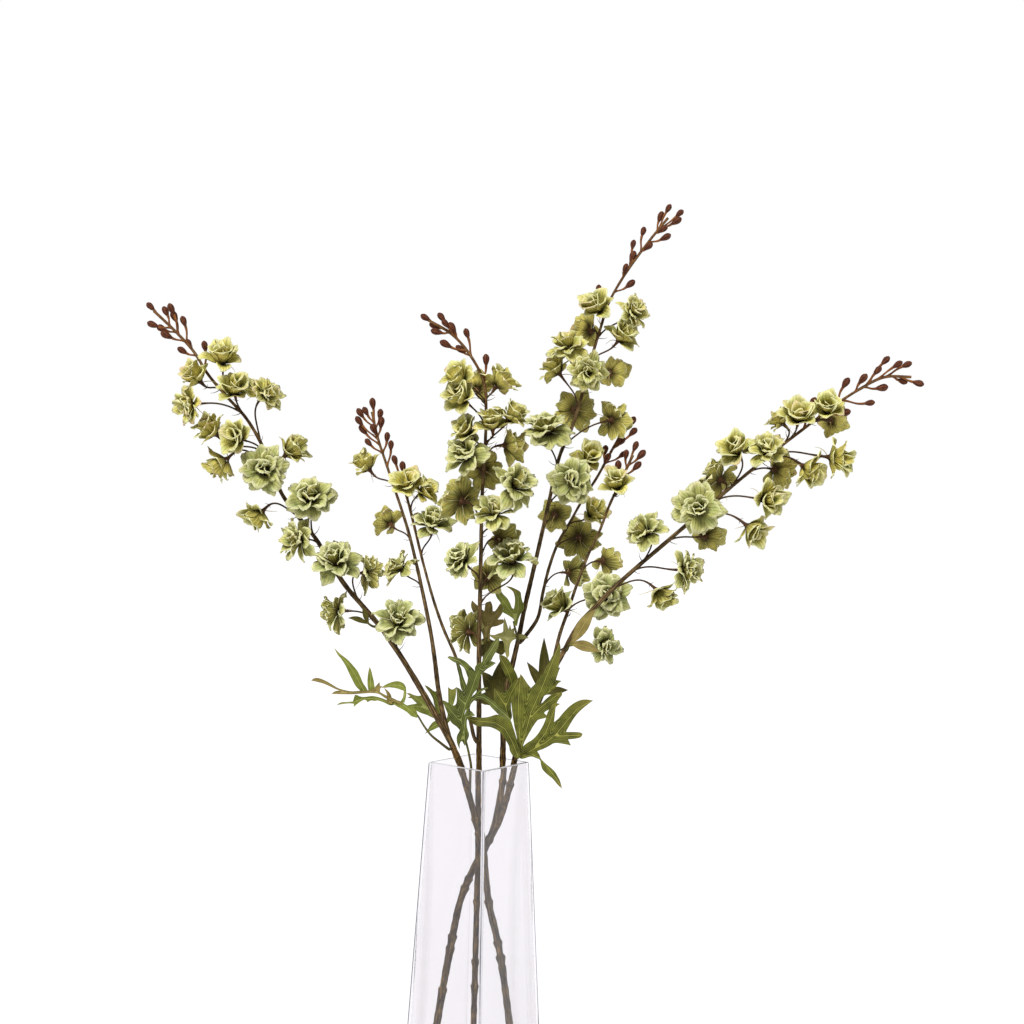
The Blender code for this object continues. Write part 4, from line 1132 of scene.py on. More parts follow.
def bloom(carrier, name, place):
    """The petals of one bloom, the line of its stalk, and what its bracts and its spur need."""
    across, down, width, letters = place[:4]
    opening = place[4] if len(place) > 4 else OPEN_USUAL if width > SMALL_BLOOM else OPEN_SMALL
    shift = place[5] if len(place) > 5 else 0
    shut = min(1.0, (1 - opening) / (1 - CLOSED))
    young = shut > HALF_SHUT
    width *= WIDER if not young else YOUNG_WIDER if width > SMALLEST else SMALL_WIDER
    draw = random.Random(name)
    aim = bloom_aim(letters, draw)
    side = aim.cross(Vector([draw.uniform(-1, 1) for _ in range(3)])).normalized()
    cross = aim.cross(side)
    near = carrier.seen_at(across, down)
    depth = carrier.path[near].y / MM + aim.y * BLOOM_REACH + shift
    middle = spot(across, down, depth)
    drop = CLOSED_DROP * (1 - opening)
    age = AGE_RISE * near / len(carrier.path) + AGE_START + draw.uniform(-AGE_SWING, AGE_SWING)
    # the widest blooms that face the front are the oldest ones, wherever they grow, and their greyer
    # colour is also painted shade for their deep layers of petals
    age = min(1.0, max(0.0, age)) * (BIG_AGE_AND_SHADE if place[2] > BIG_BLOOM and aim.y < 0 else 1)
    slant = (Matrix.Rotation(draw.uniform(-CUP_TILT, CUP_TILT), 3, side)
             @ Matrix.Rotation(draw.uniform(-CUP_TILT, CUP_TILT), 3, cross))
    astray = side * draw.uniform(-CUP_SHIFT, CUP_SHIFT) + cross * draw.uniform(-CUP_SHIFT, CUP_SHIFT)
    few = draw.random() < FEW_SHARE
    counts = YOUNG if young else FEW if few else {}
    loose = YOUNG_LOOSE if young else 1
    petals = []
    for kind, (usual, open_lift, closed_lift, reach, height) in RINGS.items():
        start = draw.uniform(0, math.tau)
        count = counts.get(kind, usual)
        larger = FEW_LARGER if counts is FEW and kind in counts else 1
        forms = petal_forms["goblet" if young else kind]
        rise = YOUNG_LIFT[kind] if young else open_lift + (closed_lift - open_lift) * shut
        size = YOUNG_SIZE[kind] if young else 1 + TALLER * shut
        for k in range(count):
            turn = start + math.tau * (k + draw.uniform(-PETAL_SWING, PETAL_SWING)) / count
            lift = rise + loose * draw.uniform(-LIFT_SWING, LIFT_SWING)
            lift = math.radians(min(STEEPEST, lift))
            outward = side * math.cos(turn) + cross * math.sin(turn)
            along = outward * math.cos(lift) + aim * math.sin(lift)
            up = aim * math.cos(lift) - outward * math.sin(lift)
            up = Matrix.Rotation(loose * draw.uniform(-ROLL_SWING, ROLL_SWING), 3, along) @ up
            grow = draw.uniform(*PETAL_SIZES) * size
            broad = grow * larger
            base = outward * reach + aim * (height - drop)
            if kind in INNER_RINGS:
                base, along, up = slant @ base + astray, slant @ along, slant @ up
            base = middle + base * width * MM
            axes = Matrix([along.cross(up) * broad, along * grow, up * broad]).transposed()
            matrix = Matrix.Translation(base) @ (axes * width * MM).to_4x4()
            petals.append(set_petal(draw.choice(forms), age, draw.random(), matrix))
    back = middle - aim * (RECEPTACLE_BACK + drop) * width * MM
    seat = middle - aim * (RECEPTACLE_FRONT + drop) * width * MM
    root = root_on(carrier, back, aim)
    tangent = carrier.tangent(root)
    way = back - carrier.path[root]
    out = (way - way.dot(tangent) * tangent).normalized()
    leave = (out + PEDICEL_LEAN * tangent).normalized()
    cuts = len(PEDICEL_RADII) - 1
    stalk = arc(carrier.path[root], leave, back, aim, PEDICEL_PULL * way.length, cuts)
    stalk += [back.lerp(seat, share) for share in RECEPTACLE_STEPS]
    radii = [*PEDICEL_RADII, RECEPTACLE_NECK, *[share * width for share in RECEPTACLE_RADII]]
    return petals, (stalk, radii), (seat, aim, side, back, carrier, root, leave, draw)


# %% [markdown]
# ### Bracts and spurs
#
# They are thin as thread, so a tapered tube is all they need. A pair of bracts stands crosswise on each
# flower stalk. One more, about 9 mm long, grows where the flower stalk leaves the stem.

# %% Threads
# lengths and radii in mm, and shares of them
BRACT_DOWN = 8.0
BRACT_LONG = 4.0
BRACT_RADIUS = 0.42
STEM_BRACT = 9.0
SPUR_LONG = 19.0
SPUR_SIZES = (0.8, 1.1)
THREAD_RADIUS = 0.5
TAPER = 0.75


def thread(start, way, turn, length, radius, steps=6):
    """A thin tapered line that leaves one way and turns towards another."""
    points = [start]
    for i in range(steps):
        step = (way * (1 - i / steps) + turn * (i / steps)).normalized()
        points.append(points[-1] + step * length * MM / steps)
    radii = [radius * (1 - TAPER * i / steps) for i in range(steps + 1)]
    return points, radii


def bloom_threads(seat, aim, side, back, carrier, root, leave, draw):
    """The bract pair on a bloom's stalk, the bract at its root, and its spur."""
    bracts = []
    below = back - aim * BRACT_DOWN * MM * 0.5
    for sign in (-1, 1):
        way = (side * sign + aim * 0.2).normalized()
        bracts.append(thread(below, way, (way + aim).normalized(), BRACT_LONG, BRACT_RADIUS, 4))
    tangent = carrier.tangent(root)
    out = (leave - leave.dot(tangent) * tangent).normalized()
    out = (out + tangent.cross(out) * draw.uniform(-0.8, 0.8)).normalized()
    bracts.append(thread(carrier.path[root], out, (out + tangent).normalized(),
                         STEM_BRACT + carrier.radius(root), THREAD_RADIUS))
    turn = draw.uniform(0, math.tau)
    outward = side * math.cos(turn) + aim.cross(side) * math.sin(turn)
    hang = (outward * 0.4 - aim + Vector((0, 0, -0.5))).normalized()
    spur = thread(back.lerp(seat, 0.6), (outward - aim * 0.4).normalized(), hang,
                  SPUR_LONG * draw.uniform(*SPUR_SIZES), THREAD_RADIUS, 8)
    return bracts, spur


# %% [markdown]
# ### Buds
#
# A bud is a closed teardrop on a short stalk, with shallow folds along it. A sphere drawn out and drawn
# in towards the stalk has the form. Every second line of longitude pushed out gives the folds.

# %% Bud form
# sizes in mm, and where a bud sits and leans on its stalk
BUD_LENGTH = 10.0
BUD_RADIUS = 3.1
BUD_SWING = 5.0
BUD_TURN = 2.4
BUD_LEAN = 0.5
BUD_MIDDLE = 0.55
BUD_STRETCH = 1.3
BUD_SIDES = 14
BUD_ROWS = 8
BUD_FOLD = 1.13
BUD_SIZES = (0.86, 1.08)
BUD_BRACT = 4.0
BUD_BRACT_RADIUS = 0.3
BUD_STALK_RADII = (1.5, 1.25, 1.1, 1.0, 1.0, 1.05, 1.15, 1.3, 1.5)
BUD_OUTLINE = (1.0, 0.78, 0.64, 0.78, 0.95, 1.08, 1.10, 1.0, 1.0)

bpy.ops.object.select_all(action="DESELECT")
bpy.ops.mesh.primitive_uv_sphere_add(
    segments=BUD_SIDES, ring_count=BUD_ROWS, radius=1, location=(0, 0, 0)
)
bud_form = bpy.context.object
bud_form.name = "bud_form"
bpy.ops.object.mode_set(mode="EDIT")
bpy.ops.mesh.select_mode(type="VERT")
for row, share in enumerate(BUD_OUTLINE):
    height = -math.cos(math.pi * row / BUD_ROWS)
    pick(bud_form, lambda p: abs(p.z - height) < NEAR)
    bpy.ops.transform.resize(value=(share, share, 1))


def on_fold(place):
    """True on every second line of longitude, away from the poles."""
    return round(math.atan2(place.y, place.x) / math.tau * BUD_SIDES) % 2 == 0 and abs(place.z) < 0.9


pick(bud_form, on_fold)
bpy.ops.transform.resize(value=(BUD_FOLD, BUD_FOLD, 1), center_override=(0, 0, 0))
bpy.ops.mesh.select_all(action="SELECT")
bpy.ops.transform.resize(value=(BUD_RADIUS * MM, BUD_RADIUS * MM, BUD_LENGTH * MM / 2))
bpy.ops.transform.translate(value=(0, 0, BUD_LENGTH * MM / 2))
bpy.ops.object.mode_set(mode="OBJECT")
bpy.ops.object.shade_smooth()

bud_skin, tree, shader = new_material("dry red-brown bud skin", Roughness=0.7, Specular_IOR_Level=0.2)
uv = add_node(tree, "UVMap", uv_map="UVMap")
place = add_node(tree, "TexCoord")
fold = add_node(tree, "TexWave", {"Vector": uv, "Scale": 2.2, "Distortion": 1.5}, wave_type="BANDS",
                bands_direction="X")
speck = add_node(tree, "TexNoise", {"Vector": place.outputs["Object"], "Scale": 420, "Detail": 3})
mix = add_node(tree, "MixRGB", {"Fac": fold.outputs["Fac"], "Color1": linear("#34160C"),
                                "Color2": linear("#643620")})
light = add_node(tree, "MapRange", {"Value": speck.outputs["Fac"], "From Min": 0.5, "From Max": 0.75,
                                    "To Max": 0.5})
tinted = add_node(tree, "MixRGB", {"Fac": light, "Color1": mix, "Color2": linear("#8A5434")})
tree.links.new(tinted.outputs[0], shader.inputs["Base Color"])
bump = add_node(tree, "Bump", {"Height": speck.outputs["Fac"], "Strength": 0.4, "Distance": 0.0004})
tree.links.new(bump.outputs[0], shader.inputs["Normal"])
bud_form.data.materials.append(bud_skin)


def bud(carrier, place, number, draw):
    """A bud in its place, and the line of its stalk."""
    near = carrier.seen_at(*place)
    middle = spot(*place, carrier.path[near].y / MM + BUD_SWING * math.sin(number * BUD_TURN))
    away = (middle - carrier.path[near]).length
    root = max(1, near - 1 - round(ROOT_DROP * away / (CARRIER_STEP * MM)))
    start = carrier.path[root]
    along = (middle - start).normalized()
    aim = (along + BUD_LEAN * carrier.tangent(root)).normalized()
    back = middle - aim * BUD_MIDDLE * BUD_LENGTH * MM
    pull = PEDICEL_PULL * (back - start).length
    line = arc(start, along, back + aim * MM, aim, pull, len(BUD_STALK_RADII) - 1)
    size = draw.uniform(*BUD_SIZES)
    turn = Matrix.Rotation(draw.uniform(0, math.tau), 4, "Z")
    axes = aim.to_track_quat("Z", "Y").to_matrix().to_4x4()
    stretch = Matrix.Diagonal((size, size, size * BUD_STRETCH, 1))
    copy = copy_of(bud_form)
    copy.data.transform(Matrix.Translation(back) @ axes @ turn @ stretch)
    side = (aim.cross(carrier.tangent(root)).normalized() + aim * 0.3).normalized()
    hair = thread(back, side, aim, BUD_BRACT, BUD_BRACT_RADIUS, 3)
    return copy, (line, BUD_STALK_RADII), hair


# %% [markdown]
# ### Growing the sprays
#
# Each spray is three pieces: its branch with the flower stalks, its blooms and its buds. A spray that
# goes on from a stalk starts in the stalk's cut top, and a side branch starts inside the stem, so that
# no seam shows between them.

# %% Sprays
spur_thread = new_material("pale dry spur", Base_Color=linear("#B7A262"), Roughness=0.7)[0]
TIP_RADIUS = 1.4
SIDE_LEAN = 1.5
SPRAY_UNEVEN = 0.12
INTO_STALK = 3.0
bloom_count = 0
for name, spec in SPRAYS.items():
    lower = carriers[spec["on"]][spec.get("shoot", 0)]
    points = [spot(*place) for place in spec["route"]]
    if spec.get("lap"):
        way = lower.tangent(len(lower.path) - 1)
        head = lower.path[-1] + way * GAP * MM
        inside = head - way * INTO_STALK * MM
    else:
        head, way = lower.seat(points[0])
        inside = head - way * (lower.radius(lower.nearest(head)) + GAP) * MM
    lead = way if spec.get("lap") else way + SIDE_LEAN * lower.tangent(lower.nearest(head))
    route = [head, *smooth_path([head + lead * SPUR_OUT * MM, *points[1:]], STALK_STEP * MM)]
    line = Carrier(route, spec["radii"])
    carriers[name] = [line]
    stem = [inside, *line.path]
    radii = [spec["radii"][0]]
    for i, point in enumerate(line.path):
        radii.append(uneven(max(TIP_RADIUS, line.radius(i)), point, SPRAY_UNEVEN))
    petals, stalks, bracts, spurs = [], [], [], []
    for i, place in enumerate(spec["blooms"]):
        ring, stalk, facts = bloom(line, f"{name}_bloom_{i}", place)
        pair, spur = bloom_threads(*facts)
        petals += ring
        stalks.append(stalk)
        bracts += pair
        spurs.append(spur)
    bloom_count += len(spec["blooms"])
    bud_draw = random.Random(name)
    grown = [bud(line, place, i, bud_draw) for i, place in enumerate(spec["buds"])]
    buds, bud_stalks, hairs = zip(*grown)
    parts = [tubes("stem", [(stem, radii)], 4), tubes("stalks", stalks + bracts, 2),
             tubes("bud_stalks", [*bud_stalks, *hairs], 1)]
    for part, skin in zip(parts, (spray_bark, pedicel_skin, young_skin)):
        part.data.materials.append(skin)
    hand_in(join(name + "_branch", parts), "bark", name)
    threads = tubes("spurs", spurs, 1)
    threads.data.materials.append(spur_thread)
    hand_in(join(name + "_blooms", [*petals, threads]), "petals", name)
    hand_in(join(name + "_buds", list(buds)), "bark", name)
print("blooms:", bloom_count)

# %% [markdown]
# ## Leaves
#
# The leaves are cut almost to their base into narrow pointed lobes, and the wide lobes carry pointed
# side lobes of their own. The lobes of the four leaves that show least are alike at different sizes, so
# one slender and one broad lobe are modelled for them.

# %% Lobe forms
LOBE_ACROSS = 4
LOBE_ALONG = 10
LOBE_OUTLINES = {
    "slender": (0.14, 0.34, 0.60, 0.82, 0.96, 1.0, 0.95, 0.82, 0.60, 0.33, 0.03),
    "broad": (0.40, 0.72, 0.90, 1.0, 1.0, 0.97, 0.88, 0.74, 0.54, 0.30, 0.03),
}

lobe_forms = {
    name: grid_form(name + "_lobe", LOBE_ACROSS, LOBE_ALONG, outline)
    for name, outline in LOBE_OUTLINES.items()
}

# %% [markdown]
# ### Leaves from outlines
#
# No two lobes of the six leaves that show most are alike. Each blade is written as it is seen from the
# front, as its outline and its ribs. The outline is filled with even triangles. The blade gets a depth
# at its base and at its tip and a bow between them, and it is folded along its ribs, as a drying leaf
# folds.

# %% Cut blades
# mm between blades that lie over each other, and between the points of one
LAYER = 0.4
CUT_STEP = 3.0
# how far a blade comes forward beside its ribs, and how many mm it buckles
CUT_FOLD = 0.22
BUCKLE = 0.7
# mm of a blade's width that the pattern of veins covers
VEIN_AREA = 13.0
# an outline has a point or a notch where it turns further than this
SMOOTH_TURN = math.radians(65)
# how near to the outline and ribs the filling's points may lie, in steps
CLEARANCE = 0.45
CUT_LEAVES = {
    "leaf_right": [
        {"depth": (-20, -44), "bow": -3, "outline": [
            (520, 757), (521, 749), (527, 743), (532, 740), (537, 735), (541, 729), (545, 721),
            (547, 714), (550, 708), (554, 703), (560, 704), (556, 707), (555, 713), (554, 722),
            (558, 719), (564, 712), (570, 706), (577, 701.5), (584, 699.5), (593, 700.5), (587, 705),
            (580, 711), (574, 718), (568, 728), (566, 732), (573, 732), (580, 732.5), (582.5, 734),
            (581, 737), (576, 738.5), (568, 739.5), (571, 745.5), (564, 744), (555, 743), (549, 746),
            (543, 749), (538, 751), (530, 756), (522, 758.8)],
         "ribs": [[(521, 756.5), (530, 751), (545, 743), (557, 733), (566, 722), (577, 709),
                   (591, 700.8)],
                  [(557, 736), (568, 735.5), (580, 735)],
                  [(536, 745), (546, 732), (551, 719), (556, 705)]]},
        {"depth": (-21, -54), "bow": 5, "outline": [
            (519, 758), (516, 752), (516, 746), (517, 739), (516, 733), (515, 729), (513, 718),
            (511.5, 705), (511, 699), (515, 690), (519, 680), (520.5, 674), (523, 677), (527, 683),
            (531, 688), (535, 684), (538, 680), (543, 673), (548, 664), (553, 655), (557, 648),
            (559.5, 642.5), (560.5, 648), (560, 656), (559, 664), (558, 672), (556, 680), (561.5, 681),
            (558, 683.5), (555, 688), (552, 690), (547, 694), (543, 697), (541, 700), (539, 704),
            (542, 703), (546, 699), (551, 695), (556, 693), (562, 691.5), (562, 695), (559, 699),
            (556, 704), (552, 708), (546, 711), (544, 713), (548, 717), (543, 718.5), (538, 720),
            (534, 725), (531, 730), (527, 737), (524, 743), (522, 750), (521, 757)],
         "ribs": [[(520, 756), (522, 745), (526, 731), (531, 712), (540, 692), (549, 670), (559, 645)],
                  [(520, 742), (519, 725), (518.5, 700), (520.3, 677)],
                  [(532, 716), (541, 707), (550, 700), (560, 693)]]},
        {"depth": (-22, -14), "bow": -10, "outline": [
            (519, 759), (514, 757), (510, 751), (509, 746), (505, 739), (501, 733), (496, 729.5),
            (490, 727), (484, 726.5), (477, 726), (472, 723), (468, 720), (467.5, 717.5), (472, 716.5),
            (478, 717.5), (484, 717.5), (490, 716.5), (497, 714.5), (503, 717), (508, 718.5),
            (511, 721), (513, 727), (515, 733), (517, 740), (518, 746), (520, 752)],
         "ribs": [[(518, 756), (512, 741), (505, 729), (495, 722.5), (482, 721.5), (470, 719.5)]]},
        {"depth": (-20, -38), "bow": 0, "outline": [
            (509, 722), (504, 719), (499, 712), (496, 706), (494, 700), (494, 694), (494, 688),
            (498, 691), (501, 693), (505, 691), (508, 689), (513, 683), (519.5, 677), (519, 684),
            (517, 690), (512, 696), (511, 701), (511, 709), (512, 717)],
         "ribs": [[(509, 719), (505, 705), (496, 691)],
                  [(506, 706), (511, 693), (518, 680)]]},
        {"depth": (-20, -32), "bow": 0, "outline": [
            (513, 697), (511, 688), (509, 682), (506, 676), (502, 668), (500, 661), (499, 655),
            (503, 655.5), (508, 659), (512, 666), (516, 673), (518, 680), (516, 690)],
         "ribs": [[(514, 693), (511, 680), (507, 669), (500, 657)]]},
        {"depth": (-20, -30), "bow": -4, "outline": [
            (521, 755), (530, 752), (536, 751), (539, 754), (541, 759), (546, 764), (551, 768),
            (555, 772), (558, 777), (560, 781), (562, 788.5), (558, 785), (553, 779), (548, 775),
            (543, 770), (541, 765), (540, 760), (536, 758), (531, 756.5), (524, 758.5)],
         "ribs": [[(523, 757), (533, 754.5), (540, 758), (549, 769), (556, 778), (561.5, 787)]]},
    ],
    "leaf_centre": [
        {"depth": (-27, -50), "bow": -3, "outline": [
            (462, 733), (457, 727), (451, 722), (447, 712), (442, 700), (447, 702), (452, 706),
            (456, 704), (457, 695), (456, 687), (460, 689), (463, 692), (467, 684), (468, 677),
            (469, 671), (472, 670), (475, 672), (475, 667), (478, 663.5), (482, 662), (483, 657),
            (487, 651), (491, 645), (495, 640), (499, 637), (499, 643), (497, 650), (494, 655),
            (491, 661), (496, 663), (492, 666), (487, 669), (483, 673), (480, 677), (479, 683),
            (477, 689), (473, 694), (471, 699), (468, 706), (465, 712), (464, 718), (465, 725)],
         "ribs": [[(462, 730), (461.5, 718), (466, 703), (472, 688), (477, 674), (485, 660),
                   (497.5, 640)],
                  [(461, 722), (452, 712), (444, 702)],
                  [(483, 670), (494, 663.5)],
                  [(465, 704), (459, 698), (457, 689)]]},
        {"depth": (-36, -38), "bow": -5, "outline": [
            (470, 684), (467, 675), (464, 668), (459, 664), (454, 662), (450, 659.5), (447.5, 657.5),
            (449, 656), (454, 657), (460, 658.5), (466, 662), (470, 666), (474, 670), (477, 676),
            (475, 684)],
         "ribs": [[(473, 682), (468, 670), (459, 661), (449, 657.5)]]},
        {"depth": (-34, -60), "bow": -6, "outline": [
            (465, 714), (468, 706), (471, 699), (473, 695.5), (477, 694), (483, 694), (488, 697),
            (493, 701), (499, 706), (504, 710), (508, 715), (511, 720), (505, 718.5), (499, 715),
            (495, 711), (491, 707), (488, 703), (484, 700.5), (479, 699), (475, 700), (471, 704),
            (469, 709)],
         "ribs": [[(468, 707), (472, 699), (478, 696.3), (484, 697), (491, 702), (500, 710),
                   (510, 719)]]},
        {"depth": (-36, -44), "bow": 0, "outline": [
            (472, 700), (475, 694), (479, 690), (483, 688), (488, 687), (487, 689), (483, 690.5),
            (480, 692.5), (478, 696), (476, 700)],
         "ribs": [[(474, 698), (479, 691.5), (486, 688)]]},
        {"depth": (-27, -32), "bow": 2, "outline": [
            (465, 694), (461, 688), (459, 676), (457, 668), (457, 662), (461, 668), (463, 676),
            (466, 684), (469, 692)],
         "ribs": [[(466, 692), (461, 676), (458, 665)]]},
        {"depth": (-26, -32), "bow": -3, "outline": [
            (465, 746), (462, 741), (460, 742), (459.5, 749), (457, 742), (457, 736), (460, 730),
            (462, 722), (464, 716), (466, 711), (471, 711), (475, 715.5), (470, 717), (467, 720),
            (467, 727), (469, 735), (467, 741)],
         "ribs": [[(465, 744), (464, 730), (465.5, 717), (473, 715)],
                  [(463, 733), (459.5, 745)]]},
    ],
    "leaf_left": [
        {"depth": (-36, -47), "bow": -3, "outline": [
            (334.3, 648), (338, 652), (343, 656), (348.5, 660.5), (353, 665.5), (357.5, 671),
            (360.5, 677), (363, 683), (366, 687.5), (368, 691), (362, 691.5), (358.5, 689), (355, 685),
            (352, 679), (349, 673), (346, 666.5), (342, 660), (338, 655)],
         "ribs": [[(364, 690.5), (357, 678), (349, 665), (341, 655.5), (335, 649)]]},
        {"depth": (-36, -38), "bow": 1, "outline": [
            (369.6, 667), (371.3, 671), (372.8, 677), (374, 683), (374.5, 688), (373, 691.5),
            (369, 691.5), (367.8, 687), (367.5, 680), (368.2, 673)],
         "ribs": [[(371, 690.5), (370.4, 680), (369.8, 670)]]},
        {"depth": (-33, -55), "bow": 2, "tone": "brown", "outline": [
            (311, 680.5), (315, 678), (320, 678.5), (326, 681), (332, 684.5), (338, 688), (344, 690),
            (352, 691.3), (360, 690.8), (368, 690.3), (372, 689.5), (375.5, 686.5), (379.5, 682),
            (380, 686), (383.5, 686.8), (380.5, 688), (380, 692), (386, 695.3), (392, 697.8),
            (398, 700.8), (403, 704.5), (397, 703), (391, 700.5), (385, 698), (379, 694), (372, 693),
            (364, 693.4), (356, 694), (350, 694.3), (343, 694.2), (336, 694), (331.5, 694),
            (335, 691.3), (340, 690.6), (336, 689.2), (330, 686.3), (324, 683.8), (317, 681.8)],
         "ribs": [[(401, 703), (391, 699), (382, 694), (372, 691.5), (356, 692.5), (344, 691.5),
                   (337, 688.5), (326, 682.5), (314, 679.7)],
                  [(350, 693), (334, 693)],
                  [(376, 691), (379, 685)]]},
        {"depth": (-27, -24), "bow": 0, "tone": "fresh", "outline": [
            (381.5, 687.5), (386, 684.5), (392, 682), (398, 681.2), (403, 683), (405.8, 687),
            (406.2, 692), (404, 691), (400, 689.5), (395, 688), (389, 687.3), (385, 687.8)],
         "ribs": [[(404.8, 690), (403, 686.5), (398, 684.8), (391, 685), (383.5, 687)]]},
        {"depth": (-31, -27), "bow": 0, "outline": [
            (404, 690), (406.3, 691), (406, 697), (404.5, 702.5), (400.5, 701.5), (403, 697)],
         "ribs": [[(403, 701), (405, 692)]]},
        {"depth": (-34, -37), "bow": 0, "tone": "brown", "outline": [
            (384, 688), (388, 691), (391, 695), (391.7, 699), (392.5, 704), (389, 703.5), (386, 701.5),
            (387.3, 697.5), (386.3, 692.5)],
         "ribs": [[(390, 702.5), (389.3, 697.5), (386, 690.5)]]},
        {"depth": (-33, -56), "bow": 2, "outline": [
            (336.5, 705), (341, 702.5), (347, 702), (353, 701.5), (354, 698), (355, 695), (357, 695),
            (361, 696.7), (366, 696.8), (372, 696), (378, 697), (384, 699), (389, 701.2), (395, 704.5),
            (390, 705.3), (384, 702.5), (378, 700.5), (375, 701), (371, 700.5), (367.5, 702.2),
            (366, 700), (364, 699.8), (360, 702), (356, 705), (353.7, 707.3), (354, 703.7),
            (349, 703.4), (342, 704.1)],
         "ribs": [[(393, 704), (386, 701.3), (378, 698.8), (370, 698.4), (361, 699), (355, 701.5),
                   (347, 702.7), (339, 703.9)]]},
        {"depth": (-30, -33), "bow": -1, "outline": [
            (391, 702), (396, 700.3), (402, 701.8), (406, 704.8), (411, 706.3), (415, 708.5),
            (417.5, 714), (417, 718), (414, 717), (411, 716), (408, 713), (404, 710.3), (400, 708),
            (396, 705.8)],
         "ribs": [[(416, 716), (411, 710.5), (404, 705.5), (394, 702.5)]]},
    ],
    "leaf_left_back": [
        {"depth": (27, 40), "bow": 2, "outline": [
            (424.5, 685), (428, 686.5), (432, 689.5), (435, 691.5), (439, 690), (440, 695), (441, 702),
            (442, 709), (443.5, 716), (444, 722), (444.5, 727), (442, 723), (439, 717), (436, 710),
            (434, 704), (433, 699), (430, 693), (427, 689)],
         "ribs": [[(444, 724), (440, 713), (437, 702), (433, 694), (426, 686)]]},
        {"depth": (26, 40), "bow": -2, "outline": [
            (406, 693), (410, 693.3), (414, 695), (418, 695.8), (424, 695.5), (428, 699), (430.5, 704),
            (434, 710), (439, 715), (442, 720), (436, 718.5), (432, 717.5), (427, 715), (421, 713),
            (417, 711), (413.5, 708.7), (410, 707.7), (405, 706.5), (409, 704.9), (414, 704),
            (417, 703.4), (414, 700.8), (411.5, 698.3), (407.5, 697.8), (410.3, 696.3), (408.5, 694.6)],
         "ribs": [[(440, 718), (430, 710), (421, 702), (414, 696.8), (408, 693.8)],
                  [(427, 709), (418, 706.3), (408, 706.2)]]},
        {"depth": (27, 33), "bow": 0, "outline": [
            (441, 718), (437, 720), (433, 722), (430, 725.5), (428, 729), (425, 733.8), (429, 731.7),
            (434, 729.5), (438, 727.5), (442, 726), (443, 720)],
         "ribs": [[(441.5, 722), (434, 725.5), (427, 731.5)]]},
        {"depth": (27, 42), "bow": 2, "outline": [
            (448, 687), (452, 689.5), (456, 687.5), (456, 694), (454.5, 701), (452.5, 707), (452, 716),
            (449, 722), (445, 724), (447.5, 716), (448.3, 707), (448.3, 697)],
         "ribs": [[(447, 722), (450.3, 708), (451.2, 697), (450, 690)]]},
    ],
    "leaf_upper": [
        {"depth": (0, -8), "bow": 0, "outline": [
            (517, 626), (513.5, 625), (514, 620), (510, 616.5), (506, 614), (501, 611.3),
            (499.5, 609.7), (503.3, 609.4), (502, 606), (500, 602), (497, 598), (495, 593),
            (494.3, 587), (494.8, 580.5), (498, 586), (500.5, 590), (503, 594), (507, 598), (510, 603),
            (512, 608), (513.7, 609), (514.5, 606), (515, 600), (514.3, 595), (512.5, 591),
            (509, 588.3), (505.5, 586), (511, 587), (516, 589.3), (520.3, 592), (521.3, 597),
            (522.3, 601), (524, 606), (523.3, 610), (520.5, 614), (518.5, 619)],
         "ribs": [[(515.5, 624), (513, 614), (506, 605), (499.5, 596), (496, 586)],
                  [(516, 619), (518.5, 608), (518.3, 598), (514.5, 590)]]},
        {"depth": (14, 6), "bow": 0, "tone": "pale", "outline": [
            (507, 658.5), (504.5, 650), (503.5, 642.5), (500, 638.5), (496, 640), (492, 637.5),
            (488, 634.2), (494, 635), (499, 633.3), (503, 631.5), (503.3, 625), (504.5, 617),
            (507, 624.5), (508.6, 629.5), (510, 624), (511.3, 629.5), (515.3, 627), (514.2, 632),
            (516.5, 635), (522, 634), (529, 638), (522, 639.3), (515, 639.3), (511, 642.5),
            (509.3, 648.5), (509.3, 655)],
         "ribs": [[(518, 637), (511, 638), (507, 640), (507, 655)],
                  [(507, 640), (505.3, 630), (504.7, 620)],
                  [(507, 638), (499, 636.5), (491, 635.5)]]},
    ],
    "leaf_centre_back": [
        {"depth": (12, 16), "bow": -2, "outline": [
            (490, 641), (484, 641), (482.5, 634), (480, 628), (477.5, 622), (474, 614), (471, 606),
            (472, 600.3), (477, 605), (481, 608.5), (484.3, 611), (485, 606), (486, 602.5),
            (491, 601.3), (492.5, 606), (492.7, 611), (495, 611), (498, 607), (500.3, 603.2),
            (502, 606), (503, 611), (500.5, 616), (497.5, 619.5), (503.5, 619.3), (503.3, 623),
            (497, 626), (491.5, 627.5), (490, 633)],
         "ribs": [[(487, 639), (482.5, 622), (476, 610), (472.8, 603)],
                  [(486.5, 632), (488, 620), (489, 604)],
                  [(487.5, 629), (494, 618), (501, 606)]]},
        {"depth": (13, 20), "bow": 0, "tone": "olive", "outline": [
            (487, 637), (481, 640), (479.5, 646), (481, 653), (484, 660), (488, 655), (492, 651),
            (497, 653), (501, 655), (505, 652), (506, 645), (503, 641), (497, 641), (492, 640)],
         "ribs": [[(487, 639), (487, 648), (484, 657)],
                  [(488, 641), (496, 646), (502, 652)]]},
    ],
}


